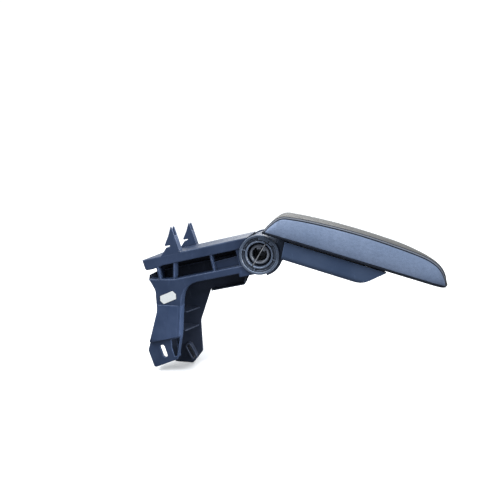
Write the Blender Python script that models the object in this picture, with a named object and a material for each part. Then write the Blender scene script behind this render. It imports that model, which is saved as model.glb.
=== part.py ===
"""Centre armrest of a car: a ribbed, L-shaped plastic carrier with a grooved pivot hub, and an arm with a sliding pad.

The origin is the carrier's fixing point at the foot, on the middle plane. +X points forward to the pad's nose,
+Y across the car and +Z up. The carrier's beam has its own directions: s runs from the hub axis back along the
beam and h stands square to it. The arm has u, forward along the pad, and w, square to the pad's flat underside.
"""
import math

import bmesh
import bpy
from mathutils import Vector

MM = 0.001
GAP = 0.3 * MM
OVER = 1.0 * MM

# Hub and main directions
HUB_X = 160.0 * MM
HUB_Z = 169.0 * MM
BEAM_SLOPE = math.radians(13.4)
ARM_SLOPE = math.radians(15.8)

# Carrier shells
CARRIER_HALF = 44.5 * MM
WALL = 3.0 * MM
EDGE_ROUND = 1.6 * MM
BEAM_END = 185.5 * MM
RAIL_TOP = 29.5 * MM
RAIL_LOW = 14.5 * MM
LOWER_RAIL_TOP = -10.8 * MM
LOWER_RAIL_LOW = -22.0 * MM
LOWER_RAIL_STEP = 5.8 * MM
LOWER_RAIL_STEP_S = 37.0 * MM
ARMPIT_RADIUS = 35.0 * MM
SHELL_DEPTH = 16.0 * MM
RIB = 2.4 * MM
RIB_SET_BACK = 1.6 * MM
WINDOW_RIB_S = 74.0 * MM
PANEL_PROUD = 1.2 * MM
FOOT_RECESS = 5.5 * MM
FOOT_STEP_Z = 22.5 * MM
FOOT_STEP_SLOPE = 0.272
PANEL_TOP_Z = 82.5 * MM
PANEL_CREASE = 0.52
LEG_WAIST_X = -6.6 * MM
FOOT_LEFT_X = -27.8 * MM
LEG_TOP_X = 35.5 * MM

# Spine between the shells
SPINE_HALF = 1.5 * MM
SPINE_LOW = -47.0 * MM
SPINE_NOSE_S = 32.0 * MM
SPINE_CORNER_S = 101.5 * MM
SPINE_RIB = 2.0 * MM
SPINE_RIBS = ((66.4 * MM, 52.0 * MM), (33.8 * MM, 49.0 * MM))
SPINE_FLANGE = 14.0 * MM
SPINE_LEDGE_H = 3.0 * MM
SPINE_LEDGE = 12.0 * MM
SLOT_BOSS_LENGTH = 32.0 * MM
SLOT_BOSS_WIDTH = 12.0 * MM
SLOT_BOSS_WALL = 2.6 * MM
SLOT_BOSS_HEIGHT = 8.0 * MM
SLOT_BOSS_TILT = math.radians(-64.0)

# Fixing slots in the foot
FIXING_SLOT_LENGTH = 22.5 * MM
FIXING_SLOT_WIDTH = 8.0 * MM
FIXING_SLOT_TILT = math.radians(-72.0)

# Snap hooks on the beam
HOOK_S = 122.4 * MM
HOOK_TOP = 70.3 * MM
HOOK_BARB_S = 141.6 * MM
HOOK_BARB_H = 44.5 * MM
HOOK_FOOT_S = 153.0 * MM
HOOK_DEPTH = 12.0 * MM
HOOK_LEAN = 3.0 * MM
HOOK_SPLIT = 14.0 * MM
HOOK_WALL = 2.2 * MM
HOOK_SLIT = 2.2 * MM

# Hub rings, pivot tube and bearings
SPIGOT_OUTER = 20.9 * MM
SPIGOT_WALL = 2.6 * MM
SPIGOT_INNER = SPIGOT_OUTER - SPIGOT_WALL
GROOVE_INNER = SPIGOT_OUTER + 0.4 * MM
GROOVE_STEP = GROOVE_INNER + 2.3 * MM
GROOVE_OUTER = GROOVE_STEP + 2.5 * MM
RING_RADIUS = GROOVE_OUTER + 3.9 * MM
CHEEK_RADIUS = RING_RADIUS
RING_PROUD = 2.0 * MM
RING_FLANGE = 4.6 * MM
CHEEK_INNER_Y = CARRIER_HALF - 7.0 * MM
BUSH_WALL = 2.8 * MM
BARREL_WALL = 4.3 * MM
BARREL_RADIUS = SPIGOT_OUTER + BUSH_WALL + BARREL_WALL
BARREL_HALF = CHEEK_INNER_Y - 1.3 * MM
SPIGOT_END_Y = BARREL_HALF - 7.2 * MM
TUBE_OUTER = SPIGOT_INNER - 3.1 * MM
TUBE_WALL = 3.6 * MM
TUBE_INNER = TUBE_OUTER - TUBE_WALL
TUBE_HALF = CARRIER_HALF - 5.0 * MM
TUBE_LUG_INNER = TUBE_INNER - 3.6 * MM
TUBE_LUG_DEPTH = 3.5 * MM
TUBE_WEB = 3.0 * MM
TAB_ANGLES = (74.0, 164.0, 253.0, 342.0)
SECTOR_LUGS = ((37.0, 52.0), (56.0, 92.0))
TOOTH_ANGLES = (200.0, 240.0)
TOOTH_COUNT = 9
TUBE_LUGS = ((33.0, 65.0), (78.0, 115.0))

# Cross pin and torsion spring
PIN_RADIUS = 0.8 * MM
PIN_ANGLE = math.radians(60.3)
PIN_HALF_LENGTH = 20.6 * MM
PIN_Y = TUBE_HALF + 3.9 * MM
WIRE_RADIUS = 0.8 * MM
SPRING_RADIUS = TUBE_INNER - 2.4 * MM
SPRING_TURNS = 7
SPRING_LENGTH = 19.0 * MM
SPRING_SET_BACK = 14.0 * MM

# Through bolts of the carrier
BOLT_RADIUS = 2.5 * MM
BOLT_HEAD_RADIUS = 4.6 * MM
BOLT_HEAD_HEIGHT = 3.2 * MM
BOSS_WALL = 2.4 * MM
BOSS_BLIND = 3.0 * MM

# Blank label on the leg
LABEL_LENGTH = 29.4 * MM
LABEL_WIDTH = 14.0 * MM
LABEL_CUT = 3.2 * MM
LABEL_THICKNESS = 0.4 * MM
LABEL_TILT = math.radians(24.4)
LABEL_X = 14.4 * MM
LABEL_Z = 95.8 * MM

# Arm core and its rails
CORE_HALF = BARREL_HALF - 1.7 * MM
CHIN_RADIUS = BARREL_RADIUS + 7.0 * MM
CHIN_ANGLE = 56.0
NECK_TOP_U = 20.0 * MM
NECK_END_U = 38.0 * MM
PLATE_TOP_W = 25.0 * MM
CORE_WALL = 3.0 * MM
CORE_LOW_W = 6.0 * MM
CORE_END_U = 135.0 * MM
CORE_RIBS_U = (72.0 * MM, 104.0 * MM)
RAIL_Y = CORE_HALF - 8.5 * MM
RAIL_WIDTH = 12.0 * MM
RAIL_SHEET = 1.2 * MM
RAIL_HEIGHT = 6.2 * MM
PAD_CLEARANCE = 2.2 * MM
PAD_BASE_W = PLATE_TOP_W + RAIL_HEIGHT + PAD_CLEARANCE
NECK_CLEARANCE = 3.4 * MM
NECK_TOP_W = PAD_BASE_W - NECK_CLEARANCE
RAIL_SLOT = 5.0 * MM
RAIL_START_U = 40.0 * MM
RAIL_END_U = 148.0 * MM
SHOE_LENGTH = 14.0 * MM
SHOES_U = (47.5 * MM, 80.5 * MM)
SLIDE_TRAVEL = 60.0 * MM

# Under shell of the arm
SHELL_MARGIN = 7.0 * MM
SHELL_WALL = 2.4 * MM
SHELL_CLEARANCE = 2.4 * MM
SHELL_TOP_W = PAD_BASE_W - SHELL_CLEARANCE
SHELL_LOW_W = 3.2 * MM
SHELL_START_U = 30.8 * MM
SHELL_HEEL_U = 33.2 * MM
SHELL_FLAT_U = 150.0 * MM
SHELL_END_U = 176.5 * MM
SHELL_SIDE_LEAN = 3.0 * MM
SHELL_CORNER = 9.0 * MM
SHELL_SCREWS_U = (56.0 * MM, 124.0 * MM)
SCREW_RADIUS = 1.8 * MM
SCREW_HEAD_RADIUS = 3.6 * MM
SCREW_HEAD_HEIGHT = 2.2 * MM
SCREW_LENGTH = 12.0 * MM

# Pad
PAD_HALF = 60.0 * MM
SHELL_HALF = PAD_HALF - SHELL_MARGIN
PAD_NOSE_U = 263.0 * MM
PAD_NOSE_RADIUS = 30.0 * MM
PAD_REAR_U = -4.6 * MM
PAD_EDGE_ROUND = 5.0 * MM
PAD_BASE = 3.0 * MM
PAD_BASE_MARGIN = 0.8 * MM
CUSHION_W = PAD_BASE_W + PAD_BASE + GAP
CORE_BOARD = 3.2 * MM
CORE_BOARD_MARGIN = 9.0 * MM
PANEL = 2.6 * MM
WELT = 2.8 * MM
NOTCH_HALF = CARRIER_HALF + 3.1 * MM
NOTCH_U = 15.5 * MM
NOTCH_W = 51.0 * MM
PAD_SCREWS = ((30.0 * MM, PAD_HALF - 17.0 * MM), (PAD_NOSE_U - 49.0 * MM, PAD_HALF - 26.0 * MM))

# Edge line of the pad along its plan outline: distance from the hub axis, height above it
PAD_EDGE = (
    (PAD_REAR_U, PAD_BASE_W),
    (3.0 * MM, 49.0 * MM),
    (14.0 * MM, 62.2 * MM),
    (30.0 * MM, 66.8 * MM),
    (70.0 * MM, 70.6 * MM),
    (124.0 * MM, 72.4 * MM),
    (PAD_NOSE_U - 85.0 * MM, 70.4 * MM),
    (PAD_NOSE_U - 52.0 * MM, 67.6 * MM),
    (PAD_NOSE_U - 39.0 * MM, 64.8 * MM),
    (PAD_NOSE_U - 27.0 * MM, 59.6 * MM),
    (PAD_NOSE_U - 15.0 * MM, 50.4 * MM),
    (PAD_NOSE_U - 7.0 * MM, 42.0 * MM),
    (PAD_NOSE_U - 3.0 * MM, PAD_BASE_W),
)
# Middle line of the pad's top
PAD_TOP = (
    (PAD_REAR_U, PAD_BASE_W + 1.0 * MM),
    (3.0 * MM, 51.4 * MM),
    (11.0 * MM, 62.6 * MM),
    (20.0 * MM, 67.8 * MM),
    (32.0 * MM, 69.4 * MM),
    (70.0 * MM, 72.5 * MM),
    (105.0 * MM, 73.8 * MM),
    (140.0 * MM, 74.3 * MM),
    (PAD_NOSE_U - 85.0 * MM, 73.6 * MM),
    (PAD_NOSE_U - 52.0 * MM, 71.3 * MM),
    (PAD_NOSE_U - 27.0 * MM, 65.2 * MM),
    (PAD_NOSE_U - 12.0 * MM, 54.6 * MM),
    (PAD_NOSE_U - 3.5 * MM, 43.6 * MM),
    (PAD_NOSE_U, PAD_BASE_W + 1.0 * MM),
)


# Directions of the beam and the arm

def beam(s, h, radius=0.0):
    """Corner of a carrier outline from its place along and above the beam."""
    x = HUB_X - s * math.cos(BEAM_SLOPE) - h * math.sin(BEAM_SLOPE)
    z = HUB_Z - s * math.sin(BEAM_SLOPE) + h * math.cos(BEAM_SLOPE)
    return (x, z, radius)


# Outlines

def rounded(corners, step=math.radians(15.0)):
    """Closed outline from (x, z, radius) corners, each round corner as an arc."""
    outline = []
    count = len(corners)
    for index, (x, z, radius) in enumerate(corners):
        corner = Vector((x, z))
        if radius <= 0.0:
            outline.append((x, z))
            continue
        before = (Vector(corners[index - 1][:2]) - corner).normalized()
        after = (Vector(corners[(index + 1) % count][:2]) - corner).normalized()
        half = 0.5 * before.angle(after)
        reach = radius / math.tan(half)
        start = corner + before * reach
        centre = corner + (before + after).normalized() * (radius / math.sin(half))
        turn = (start - centre).angle_signed(corner + after * reach - centre)
        pieces = max(2, round(abs(turn) / step))
        for piece in range(pieces + 1):
            angle = -turn * piece / pieces
            spoke = start - centre
            outline.append((
                centre.x + spoke.x * math.cos(angle) - spoke.y * math.sin(angle),
                centre.y + spoke.x * math.sin(angle) + spoke.y * math.cos(angle),
            ))
    return outline


def inset(corners, distance):
    """Corners of an outline moved inwards by one distance, with their radii to match."""
    count = len(corners)
    area = sum(corners[i - 1][0] * corners[i][1] - corners[i][0] * corners[i - 1][1] for i in range(count))
    side = 1.0 if area > 0.0 else -1.0
    moved = []
    for index, (x, z, radius) in enumerate(corners):
        point = Vector((x, z))
        before = (point - Vector(corners[index - 1][:2])).normalized()
        after = (Vector(corners[(index + 1) % count][:2]) - point).normalized()
        middle = Vector((-before.y - after.y, before.x + after.x)) * side
        shifted = point + middle * (2.0 * distance / middle.length_squared)
        hollow = before.cross(after) * side < 0.0
        change = distance if hollow else -distance
        moved.append((shifted.x, shifted.y, max(radius + change, 0.0) if radius > 0.0 else 0.0))
    return moved


def circle(radius, centre=(0.0, 0.0), segments=40):
    """Round outline."""
    angles = [2.0 * math.pi * index / segments for index in range(segments)]
    return [(centre[0] + radius * math.cos(a), centre[1] + radius * math.sin(a)) for a in angles]


def bar(start, end, width):
    """Outline of a straight bar between two points."""
    along = (Vector(end) - Vector(start)).normalized()
    across = Vector((-along.y, along.x)) * (0.5 * width)
    first, last = Vector(start), Vector(end)
    return [tuple(first - across), tuple(last - across), tuple(last + across), tuple(first + across)]


def obround(centre, length, width, tilt, segments=6):
    """Outline with two straight sides and two round ends."""
    outline = []
    for end in (1.0, -1.0):
        for index in range(segments + 1):
            angle = tilt + math.pi * (index / segments - 0.5) + (0.0 if end > 0.0 else math.pi)
            reach = end * 0.5 * (length - width)
            outline.append((
                centre[0] + reach * math.cos(tilt) + 0.5 * width * math.cos(angle),
                centre[1] + reach * math.sin(tilt) + 0.5 * width * math.sin(angle),
            ))
    return outline


def sector(inner, outer, start, end, centre, step=10.0):
    """Outline of a ring's sector between two angles in degrees."""
    pieces = max(1, round((end - start) / step))
    angles = [math.radians(start + (end - start) * index / pieces) for index in range(pieces + 1)]
    outline = [(centre[0] + outer * math.cos(a), centre[1] + outer * math.sin(a)) for a in angles]
    outline += [(centre[0] + inner * math.cos(a), centre[1] + inner * math.sin(a)) for a in reversed(angles)]
    return outline


def smooth_height(points, place):
    """Height of the smooth curve through the points (rising along) at one place."""
    if place <= points[0][0]:
        return points[0][1]
    if place >= points[-1][0]:
        return points[-1][1]
    index = max(i for i in range(len(points) - 1) if points[i][0] <= place)
    x0, z0 = points[index]
    x1, z1 = points[index + 1]
    slopes = []
    for i in (index, index + 1):
        low, high = max(i - 1, 0), min(i + 1, len(points) - 1)
        slopes.append((points[high][1] - points[low][1]) / (points[high][0] - points[low][0]))
    run = x1 - x0
    t = (place - x0) / run
    start = (1.0 + 2.0 * t) * (1.0 - t) ** 2 * z0 + t * (1.0 - t) ** 2 * run * slopes[0]
    end = t * t * (3.0 - 2.0 * t) * z1 + t * t * (t - 1.0) * run * slopes[1]
    return start + end


# Objects

def clear_scene():
    for old in list(bpy.data.objects):
        bpy.data.objects.remove(old)


def new_object(name, bm):
    """Object from a bmesh, with its faces pointing out."""
    bmesh.ops.recalc_face_normals(bm, faces=bm.faces)
    mesh = bpy.data.meshes.new(name)
    bm.to_mesh(mesh)
    bm.free()
    result = bpy.data.objects.new(name, mesh)
    bpy.context.scene.collection.objects.link(result)
    return result


def prism(outline, low, high, axis="Y", name="blank"):
    """Solid of one outline, drawn out along an axis: Y takes (x, z), X takes (y, z) and Z takes (x, y)."""
    places = {
        "Y": lambda a, b, depth: (a, depth, b),
        "X": lambda a, b, depth: (depth, a, b),
        "Z": lambda a, b, depth: (a, b, depth),
    }
    bm = bmesh.new()
    lower = [bm.verts.new(places[axis](a, b, low)) for a, b in outline]
    upper = [bm.verts.new(places[axis](a, b, high)) for a, b in outline]
    bm.faces.new(lower)
    bm.faces.new(upper)
    count = len(outline)
    for index in range(count):
        following = (index + 1) % count
        bm.faces.new((lower[index], lower[following], upper[following], upper[index]))
    return new_object(name, bm)


def soft_prism(corners, low, high, radius, name="blank"):
    """Solid of one outline along Y, with the edge of its lower face rounded."""
    sections = []
    for angle in (0.0, math.radians(35.0), math.radians(65.0), math.radians(90.0)):
        margin, depth = radius * (1.0 - math.sin(angle)), radius * (1.0 - math.cos(angle))
        sections.append([(x, low + depth, z) for x, z in rounded(inset(corners, margin))])
    sections.append([(x, high, z) for x, z in rounded(corners)])
    return loft(sections, name)


def box(x_range, y_range, z_range, name="blank"):
    """Block between three pairs of limits."""
    outline = [(x_range[0], z_range[0]), (x_range[1], z_range[0]), (x_range[1], z_range[1]), (x_range[0], z_range[1])]
    return prism(outline, y_range[0], y_range[1], name=name)


def turned(profile, centre, segments=48, name="blank"):
    """Ring turned about the line along Y through the centre, from a closed (radius, y) profile."""
    bm = bmesh.new()
    loops = []
    for index in range(segments):
        angle = 2.0 * math.pi * index / segments
        cos, sin = math.cos(angle), math.sin(angle)
        loops.append([bm.verts.new((centre[0] + r * cos, y, centre[1] + r * sin)) for r, y in profile])
    count = len(profile)
    for index in range(segments):
        near, far = loops[index], loops[(index + 1) % segments]
        for i in range(count):
            j = (i + 1) % count
            bm.faces.new((near[i], near[j], far[j], far[i]))
    return new_object(name, bm)


def loft(sections, name="blank"):
    """Solid through a row of closed sections with equal numbers of points."""
    bm = bmesh.new()
    loops = [[bm.verts.new(point) for point in section] for section in sections]
    count = len(sections[0])
    for near, far in zip(loops, loops[1:]):
        for i in range(count):
            j = (i + 1) % count
            bm.faces.new((near[i], near[j], far[j], far[i]))
    bm.faces.new(loops[0])
    bm.faces.new(loops[-1])
    return new_object(name, bm)


def wire(points, radius, sides=6, name="blank"):
    """Round wire along a row of points, with flat ends."""
    sections = []
    across = None
    for index, point in enumerate(points):
        ahead = points[min(index + 1, len(points) - 1)]
        behind = points[max(index - 1, 0)]
        along = (Vector(ahead) - Vector(behind)).normalized()
        if across is None:
            across = along.orthogonal().normalized()
        across = (across - along * across.dot(along)).normalized()
        other = along.cross(across)
        angles = [2.0 * math.pi * side / sides for side in range(sides)]
        sections.append([Vector(point) + across * (radius * math.cos(a)) + other * (radius * math.sin(a)) for a in angles])
    return loft(sections, name)


def combine(target, other, operation):
    """Boolean of two objects, worked into the first; the second is removed."""
    modifier = target.modifiers.new(operation, "BOOLEAN")
    modifier.operation = operation
    modifier.solver = "EXACT"
    modifier.object = other
    graph = bpy.context.evaluated_depsgraph_get()
    mesh = bpy.data.meshes.new_from_object(target.evaluated_get(graph))
    target.modifiers.clear()
    target.data = mesh
    bpy.data.objects.remove(other)
    return target


def join(target, *others):
    for other in others:
        combine(target, other, "UNION")
    return target


def cut(target, *others):
    for other in others:
        combine(target, other, "DIFFERENCE")
    return target


def mirrored(source, name):
    """Copy of an object, mirrored across the middle plane."""
    bm = bmesh.new()
    bm.from_mesh(source.data)
    for vert in bm.verts:
        vert.co.y = -vert.co.y
    bmesh.ops.reverse_faces(bm, faces=bm.faces)
    return new_object(name, bm)


def empty(name, location, slope=0.0, parent=None):
    """Empty that carries the pieces of one body, sitting on its joint's axis."""
    result = bpy.data.objects.new(name, None)
    result.location = location
    result.rotation_euler = (0.0, slope, 0.0)
    result.parent = parent
    bpy.context.scene.collection.objects.link(result)
    return result


MATERIALS = {
    "carrier_plastic": ((0.020, 0.030, 0.048), 0.50, 0.0),
    "spine_plastic": ((0.012, 0.016, 0.024), 0.60, 0.0),
    "hub_plastic": ((0.045, 0.060, 0.085), 0.38, 0.0),
    "sleeve_plastic": ((0.110, 0.120, 0.140), 0.35, 0.0),
    "bearing_plastic": ((0.550, 0.550, 0.520), 0.40, 0.0),
    "steel": ((0.600, 0.580, 0.580), 0.30, 1.0),
    "label_paper": ((0.830, 0.860, 0.850), 0.60, 0.0),
    "arm_plastic": ((0.014, 0.018, 0.026), 0.55, 0.0),
    "under_shell_plastic": ((0.040, 0.062, 0.105), 0.42, 0.0),
    "pad_skin": ((0.250, 0.260, 0.280), 0.55, 0.0),
    "panel_skin": ((0.160, 0.205, 0.300), 0.50, 0.0),
    "welt_skin": ((0.090, 0.105, 0.130), 0.45, 0.0),
    "base_plastic": ((0.015, 0.018, 0.024), 0.55, 0.0),
}


def finish(piece, name, material, parent, smooth=False):
    """Names a finished piece, gives it its own material and hangs it on its body."""
    piece.name = name
    piece.data.name = name
    colour, roughness, metallic = MATERIALS[material]
    look = bpy.data.materials.new(name)
    look.use_nodes = True
    shader = look.node_tree.nodes["Principled BSDF"]
    shader.inputs["Base Color"].default_value = (*colour, 1.0)
    shader.inputs["Roughness"].default_value = roughness
    shader.inputs["Metallic"].default_value = metallic
    piece.data.materials.clear()
    piece.data.materials.append(look)
    if smooth:
        piece.data.shade_smooth()
        piece.data.set_sharp_from_angle(angle=math.radians(35.0))
    piece.parent = parent
    return piece


# Carrier

HUB = (HUB_X, HUB_Z)


def leg_corners():
    """Side view of one shell's lower rail and leg."""
    return (
        (-17.6 * MM, 124.0 * MM, 0.0),
        beam(141.0 * MM, LOWER_RAIL_TOP),
        beam(12.0 * MM, LOWER_RAIL_TOP),
        beam(12.0 * MM, LOWER_RAIL_LOW - LOWER_RAIL_STEP),
        beam(LOWER_RAIL_STEP_S, LOWER_RAIL_LOW - LOWER_RAIL_STEP),
        beam(LOWER_RAIL_STEP_S, LOWER_RAIL_LOW),
        beam(130.5 * MM, LOWER_RAIL_LOW, ARMPIT_RADIUS),
        (LEG_TOP_X, 88.0 * MM, 0.0),
        (31.0 * MM, 31.0 * MM, 40.0 * MM),
        (23.5 * MM, -12.5 * MM, 3.5 * MM),
        (FOOT_LEFT_X + 10.0 * MM, -31.0 * MM, 3.5 * MM),
        (FOOT_LEFT_X, -0.5 * MM, 9.0 * MM),
        (LEG_WAIST_X, 72.0 * MM, 30.0 * MM),
        (LEG_WAIST_X - 1.0 * MM, 106.0 * MM, 14.0 * MM),
    )


def rail_corners():
    """Side view of one shell's upper rail."""
    return (
        beam(12.0 * MM, RAIL_TOP),
        beam(12.0 * MM, RAIL_LOW),
        beam(BEAM_END - 32.0 * MM, RAIL_LOW),
        beam(BEAM_END - 14.0 * MM, RAIL_LOW - 3.0 * MM),
        beam(BEAM_END - 1.0 * MM, RAIL_LOW - 2.5 * MM, 3.5 * MM),
        beam(BEAM_END, RAIL_TOP),
    )


BOLT_PLACES = (
    beam(52.0 * MM, 0.5 * (RAIL_TOP + RAIL_LOW))[:2],
    beam(158.0 * MM, 0.5 * (RAIL_TOP + RAIL_LOW))[:2],
    (16.0 * MM, 112.0 * MM),
    (11.0 * MM, 42.0 * MM),
)
RAIL_BOLTS = BOLT_PLACES[:2]
LEG_BOLTS = BOLT_PLACES[2:]
BOSS_RADIUS = BOLT_RADIUS + GAP + BOSS_WALL
FOOT_BLOCK = (
    (-40.0 * MM, FOOT_STEP_Z - 40.0 * MM * FOOT_STEP_SLOPE),
    (45.0 * MM, FOOT_STEP_Z + 45.0 * MM * FOOT_STEP_SLOPE),
    (45.0 * MM, -40.0 * MM),
    (-40.0 * MM, -40.0 * MM),
)


def add_window_ribs(shell):
    """End wall and the two thin ribs that cross the window between the rails."""
    front, back = -CARRIER_HALF, -CARRIER_HALF + SHELL_DEPTH
    rail_end = beam(163.5 * MM, RAIL_LOW + OVER)[:2]
    join(shell, prism(bar(rail_end, (2.5 * MM, 122.5 * MM), WALL), front, back))
    upright = beam(134.3 * MM, RAIL_LOW + OVER)[:2]
    join(shell, prism(bar(upright, (24.4 * MM, 124.0 * MM), RIB), front + RIB_SET_BACK, back))
    top, low = beam(WINDOW_RIB_S, RAIL_LOW + OVER)[:2], beam(WINDOW_RIB_S, LOWER_RAIL_TOP - OVER)[:2]
    join(shell, prism(bar(top, low, RIB), front + RIB_SET_BACK, back))
    shelf = rounded((
        beam(WINDOW_RIB_S, 2.0 * MM),
        beam(27.0 * MM, 4.0 * MM),
        beam(27.0 * MM, LOWER_RAIL_TOP - OVER),
        beam(WINDOW_RIB_S, LOWER_RAIL_TOP - OVER),
    ))
    join(shell, prism(shelf, back - 2.0 * WALL, back - WALL))


def add_hook(shell):
    """Snap hook: a wedge with a barb, hollow from behind, on a sloping gusset."""
    outer = -CARRIER_HALF
    wedge = rounded((
        beam(HOOK_S - HOOK_LEAN, RAIL_TOP - OVER),
        beam(HOOK_S + 0.4 * MM, HOOK_TOP - 1.0 * MM),
        beam(HOOK_S + 1.6 * MM, HOOK_TOP),
        beam(HOOK_S + 9.2 * MM, 57.5 * MM, 12.0 * MM),
        beam(HOOK_BARB_S, HOOK_BARB_H),
        beam(HOOK_BARB_S - 3.8 * MM, HOOK_BARB_H - 2.6 * MM),
        beam(HOOK_BARB_S - 0.5 * MM, HOOK_BARB_H - 5.2 * MM),
        beam(HOOK_FOOT_S, RAIL_TOP - OVER),
    ))
    hook = prism(wedge, outer, outer + HOOK_DEPTH)
    hollow = rounded((
        beam(HOOK_S + HOOK_WALL, RAIL_TOP + HOOK_WALL),
        beam(HOOK_S + HOOK_WALL, HOOK_TOP - 9.0 * MM),
        beam(HOOK_FOOT_S + OVER, HOOK_TOP - 9.0 * MM),
        beam(HOOK_FOOT_S + OVER, RAIL_TOP + HOOK_WALL),
    ))
    split = [beam(s, h)[:2] for s, h in (
        (HOOK_S - HOOK_LEAN - OVER, HOOK_TOP - HOOK_SPLIT),
        (HOOK_FOOT_S, HOOK_TOP - HOOK_SPLIT),
        (HOOK_FOOT_S, HOOK_TOP + OVER),
        (HOOK_S - HOOK_LEAN - OVER, HOOK_TOP + OVER),
    )]
    slit_low = HOOK_BARB_H - 3.6 * MM
    slit = [beam(s, h)[:2] for s, h in (
        (HOOK_S + 10.5 * MM, slit_low),
        (HOOK_BARB_S + OVER, slit_low),
        (HOOK_BARB_S + OVER, slit_low + HOOK_SLIT),
        (HOOK_S + 10.5 * MM, slit_low + HOOK_SLIT),
    )]
    cut(hook, prism(hollow, outer + HOOK_WALL, outer + HOOK_DEPTH - HOOK_WALL))
    cut(hook, prism(slit, outer - OVER, outer + HOOK_DEPTH + OVER))
    cut(hook, prism(split, outer + HOOK_WALL, outer + HOOK_DEPTH - HOOK_WALL))
    join(shell, hook)


def add_cheek(shell):
    """Round cheek that carries the hub ring, with its bore, and the barrel's running space beside it."""
    outer, inner = -CARRIER_HALF, -CHEEK_INNER_Y
    join(shell, prism(circle(CHEEK_RADIUS, HUB, 56), outer, inner))
    backing = [beam(s, h)[:2] for s, h in (
        (14.0 * MM, RAIL_TOP - 0.5 * WALL),
        (14.0 * MM, LOWER_RAIL_LOW + 0.5 * WALL),
        (36.0 * MM, LOWER_RAIL_LOW + 0.5 * WALL),
        (36.0 * MM, LOWER_RAIL_TOP - 0.5 * WALL),
        (33.0 * MM, LOWER_RAIL_TOP),
        (33.0 * MM, RAIL_LOW),
        (36.0 * MM, RAIL_LOW + 0.5 * WALL),
        (36.0 * MM, RAIL_TOP - 0.5 * WALL),
    )]
    join(shell, prism(backing, outer + 0.5 * WALL, inner))
    cut(shell, prism(circle(BARREL_RADIUS + 4.0 * GAP, HUB, 56), inner, 0.0))
    cut(shell, prism(circle(RING_RADIUS + GAP, HUB, 56), outer - OVER, outer - RING_PROUD + RING_FLANGE + GAP))
    cut(shell, prism(circle(SPIGOT_OUTER + GAP, HUB, 56), outer - OVER, inner + OVER))


def leg_edges(height):
    """Places of the leg's left and right edges at one height."""
    share = (height - 31.0 * MM) / (88.0 * MM - 31.0 * MM)
    right = 31.0 * MM + share * (LEG_TOP_X - 31.0 * MM)
    left = LEG_WAIST_X - max(0.0, 72.0 * MM - height) * (LEG_WAIST_X - FOOT_LEFT_X) / (72.5 * MM)
    return left, right


def build_leg_panel():
    """Raised panel of the leg: flat, then turned slightly away past a crease, then round the flank."""
    outer = -CARRIER_HALF
    sections = []
    for share in (0.0, 0.25, 0.5, 0.75, 0.9, 1.0):
        height = FOOT_STEP_Z + share * (PANEL_TOP_Z - FOOT_STEP_Z)
        left, right = leg_edges(max(height, 31.0 * MM))
        left += 1.6 * MM
        crease = left + PANEL_CREASE * (right - left)
        face = outer - PANEL_PROUD
        profile = (
            (left + 0.5 * MM, outer + 0.5 * WALL),
            (left, face + 0.5 * MM),
            (left + 0.8 * MM, face),
            (crease, face),
            (right - 5.0 * MM, face + 1.0 * MM),
            (right - 1.6 * MM, face + 2.4 * MM),
            (right + 0.2 * MM, face + 5.0 * MM),
            (right + 0.9 * MM, face + 9.0 * MM),
            (right + 0.9 * MM, outer + SHELL_DEPTH - 2.0 * MM),
            (right - 1.0 * MM, outer + SHELL_DEPTH - 2.0 * MM),
            (right - 2.0 * MM, outer + 0.5 * WALL),
        )
        slope = FOOT_STEP_SLOPE * (1.0 - share)
        sections.append([(x, y, height + slope * x) for x, y in profile])
    return loft(sections)


def foot_window():
    """Side view of the deep recess beside the fixing slot."""
    return rounded((
        (13.5 * MM, 22.0 * MM, 1.5 * MM),
        (28.5 * MM, 26.0 * MM, 1.5 * MM),
        (26.0 * MM, 5.0 * MM, 1.5 * MM),
        (23.0 * MM, -7.5 * MM, 1.5 * MM),
        (18.5 * MM, -8.5 * MM, 1.5 * MM),
        (14.0 * MM, 6.0 * MM, 1.5 * MM),
    ))


def build_shell():
    """Near shell of the carrier: upper rail, lower rail with the leg, cheek, hook, bosses and foot."""
    outer, back, middle = -CARRIER_HALF, -CARRIER_HALF + SHELL_DEPTH, -SPINE_HALF - GAP
    hollow = rounded(inset(leg_corners(), WALL))
    upper_hollow = cut(
        prism(hollow, outer + WALL, outer + WALL + FOOT_RECESS + OVER),
        prism([(x, z + WALL) for x, z in FOOT_BLOCK], outer, back),
    )
    shell = soft_prism(leg_corners(), outer, back, EDGE_ROUND)
    cut(shell, prism(hollow, outer + WALL + FOOT_RECESS, back + OVER), upper_hollow)
    rail = soft_prism(rail_corners(), outer, middle, EDGE_ROUND)
    cut(rail, prism(rounded(inset(rail_corners(), WALL)), outer + WALL, middle + OVER))
    join(shell, rail)
    add_window_ribs(shell)
    for place in RAIL_BOLTS:
        join(shell, prism(circle(BOSS_RADIUS, place, 16), outer + 0.5 * WALL, middle))
    for place in LEG_BOLTS:
        join(shell, prism(circle(BOSS_RADIUS, place, 16), outer + 0.5 * WALL, back))
    cut(shell, prism(FOOT_BLOCK, outer - OVER, outer + FOOT_RECESS))
    join(shell, build_leg_panel())
    add_cheek(shell)
    add_hook(shell)
    slot = obround((0.0, 0.0), FIXING_SLOT_LENGTH, FIXING_SLOT_WIDTH, FIXING_SLOT_TILT)
    cut(shell, prism(slot, outer - OVER, back + OVER))
    cut(shell, prism(foot_window(), outer - OVER, outer + WALL + FOOT_RECESS + OVER))
    brace = bar((20.0 * MM, 27.0 * MM), (24.5 * MM, -9.5 * MM), SPINE_RIB)
    join(shell, prism(brace, outer + 2.0 * FOOT_RECESS, back))
    return shell


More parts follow.
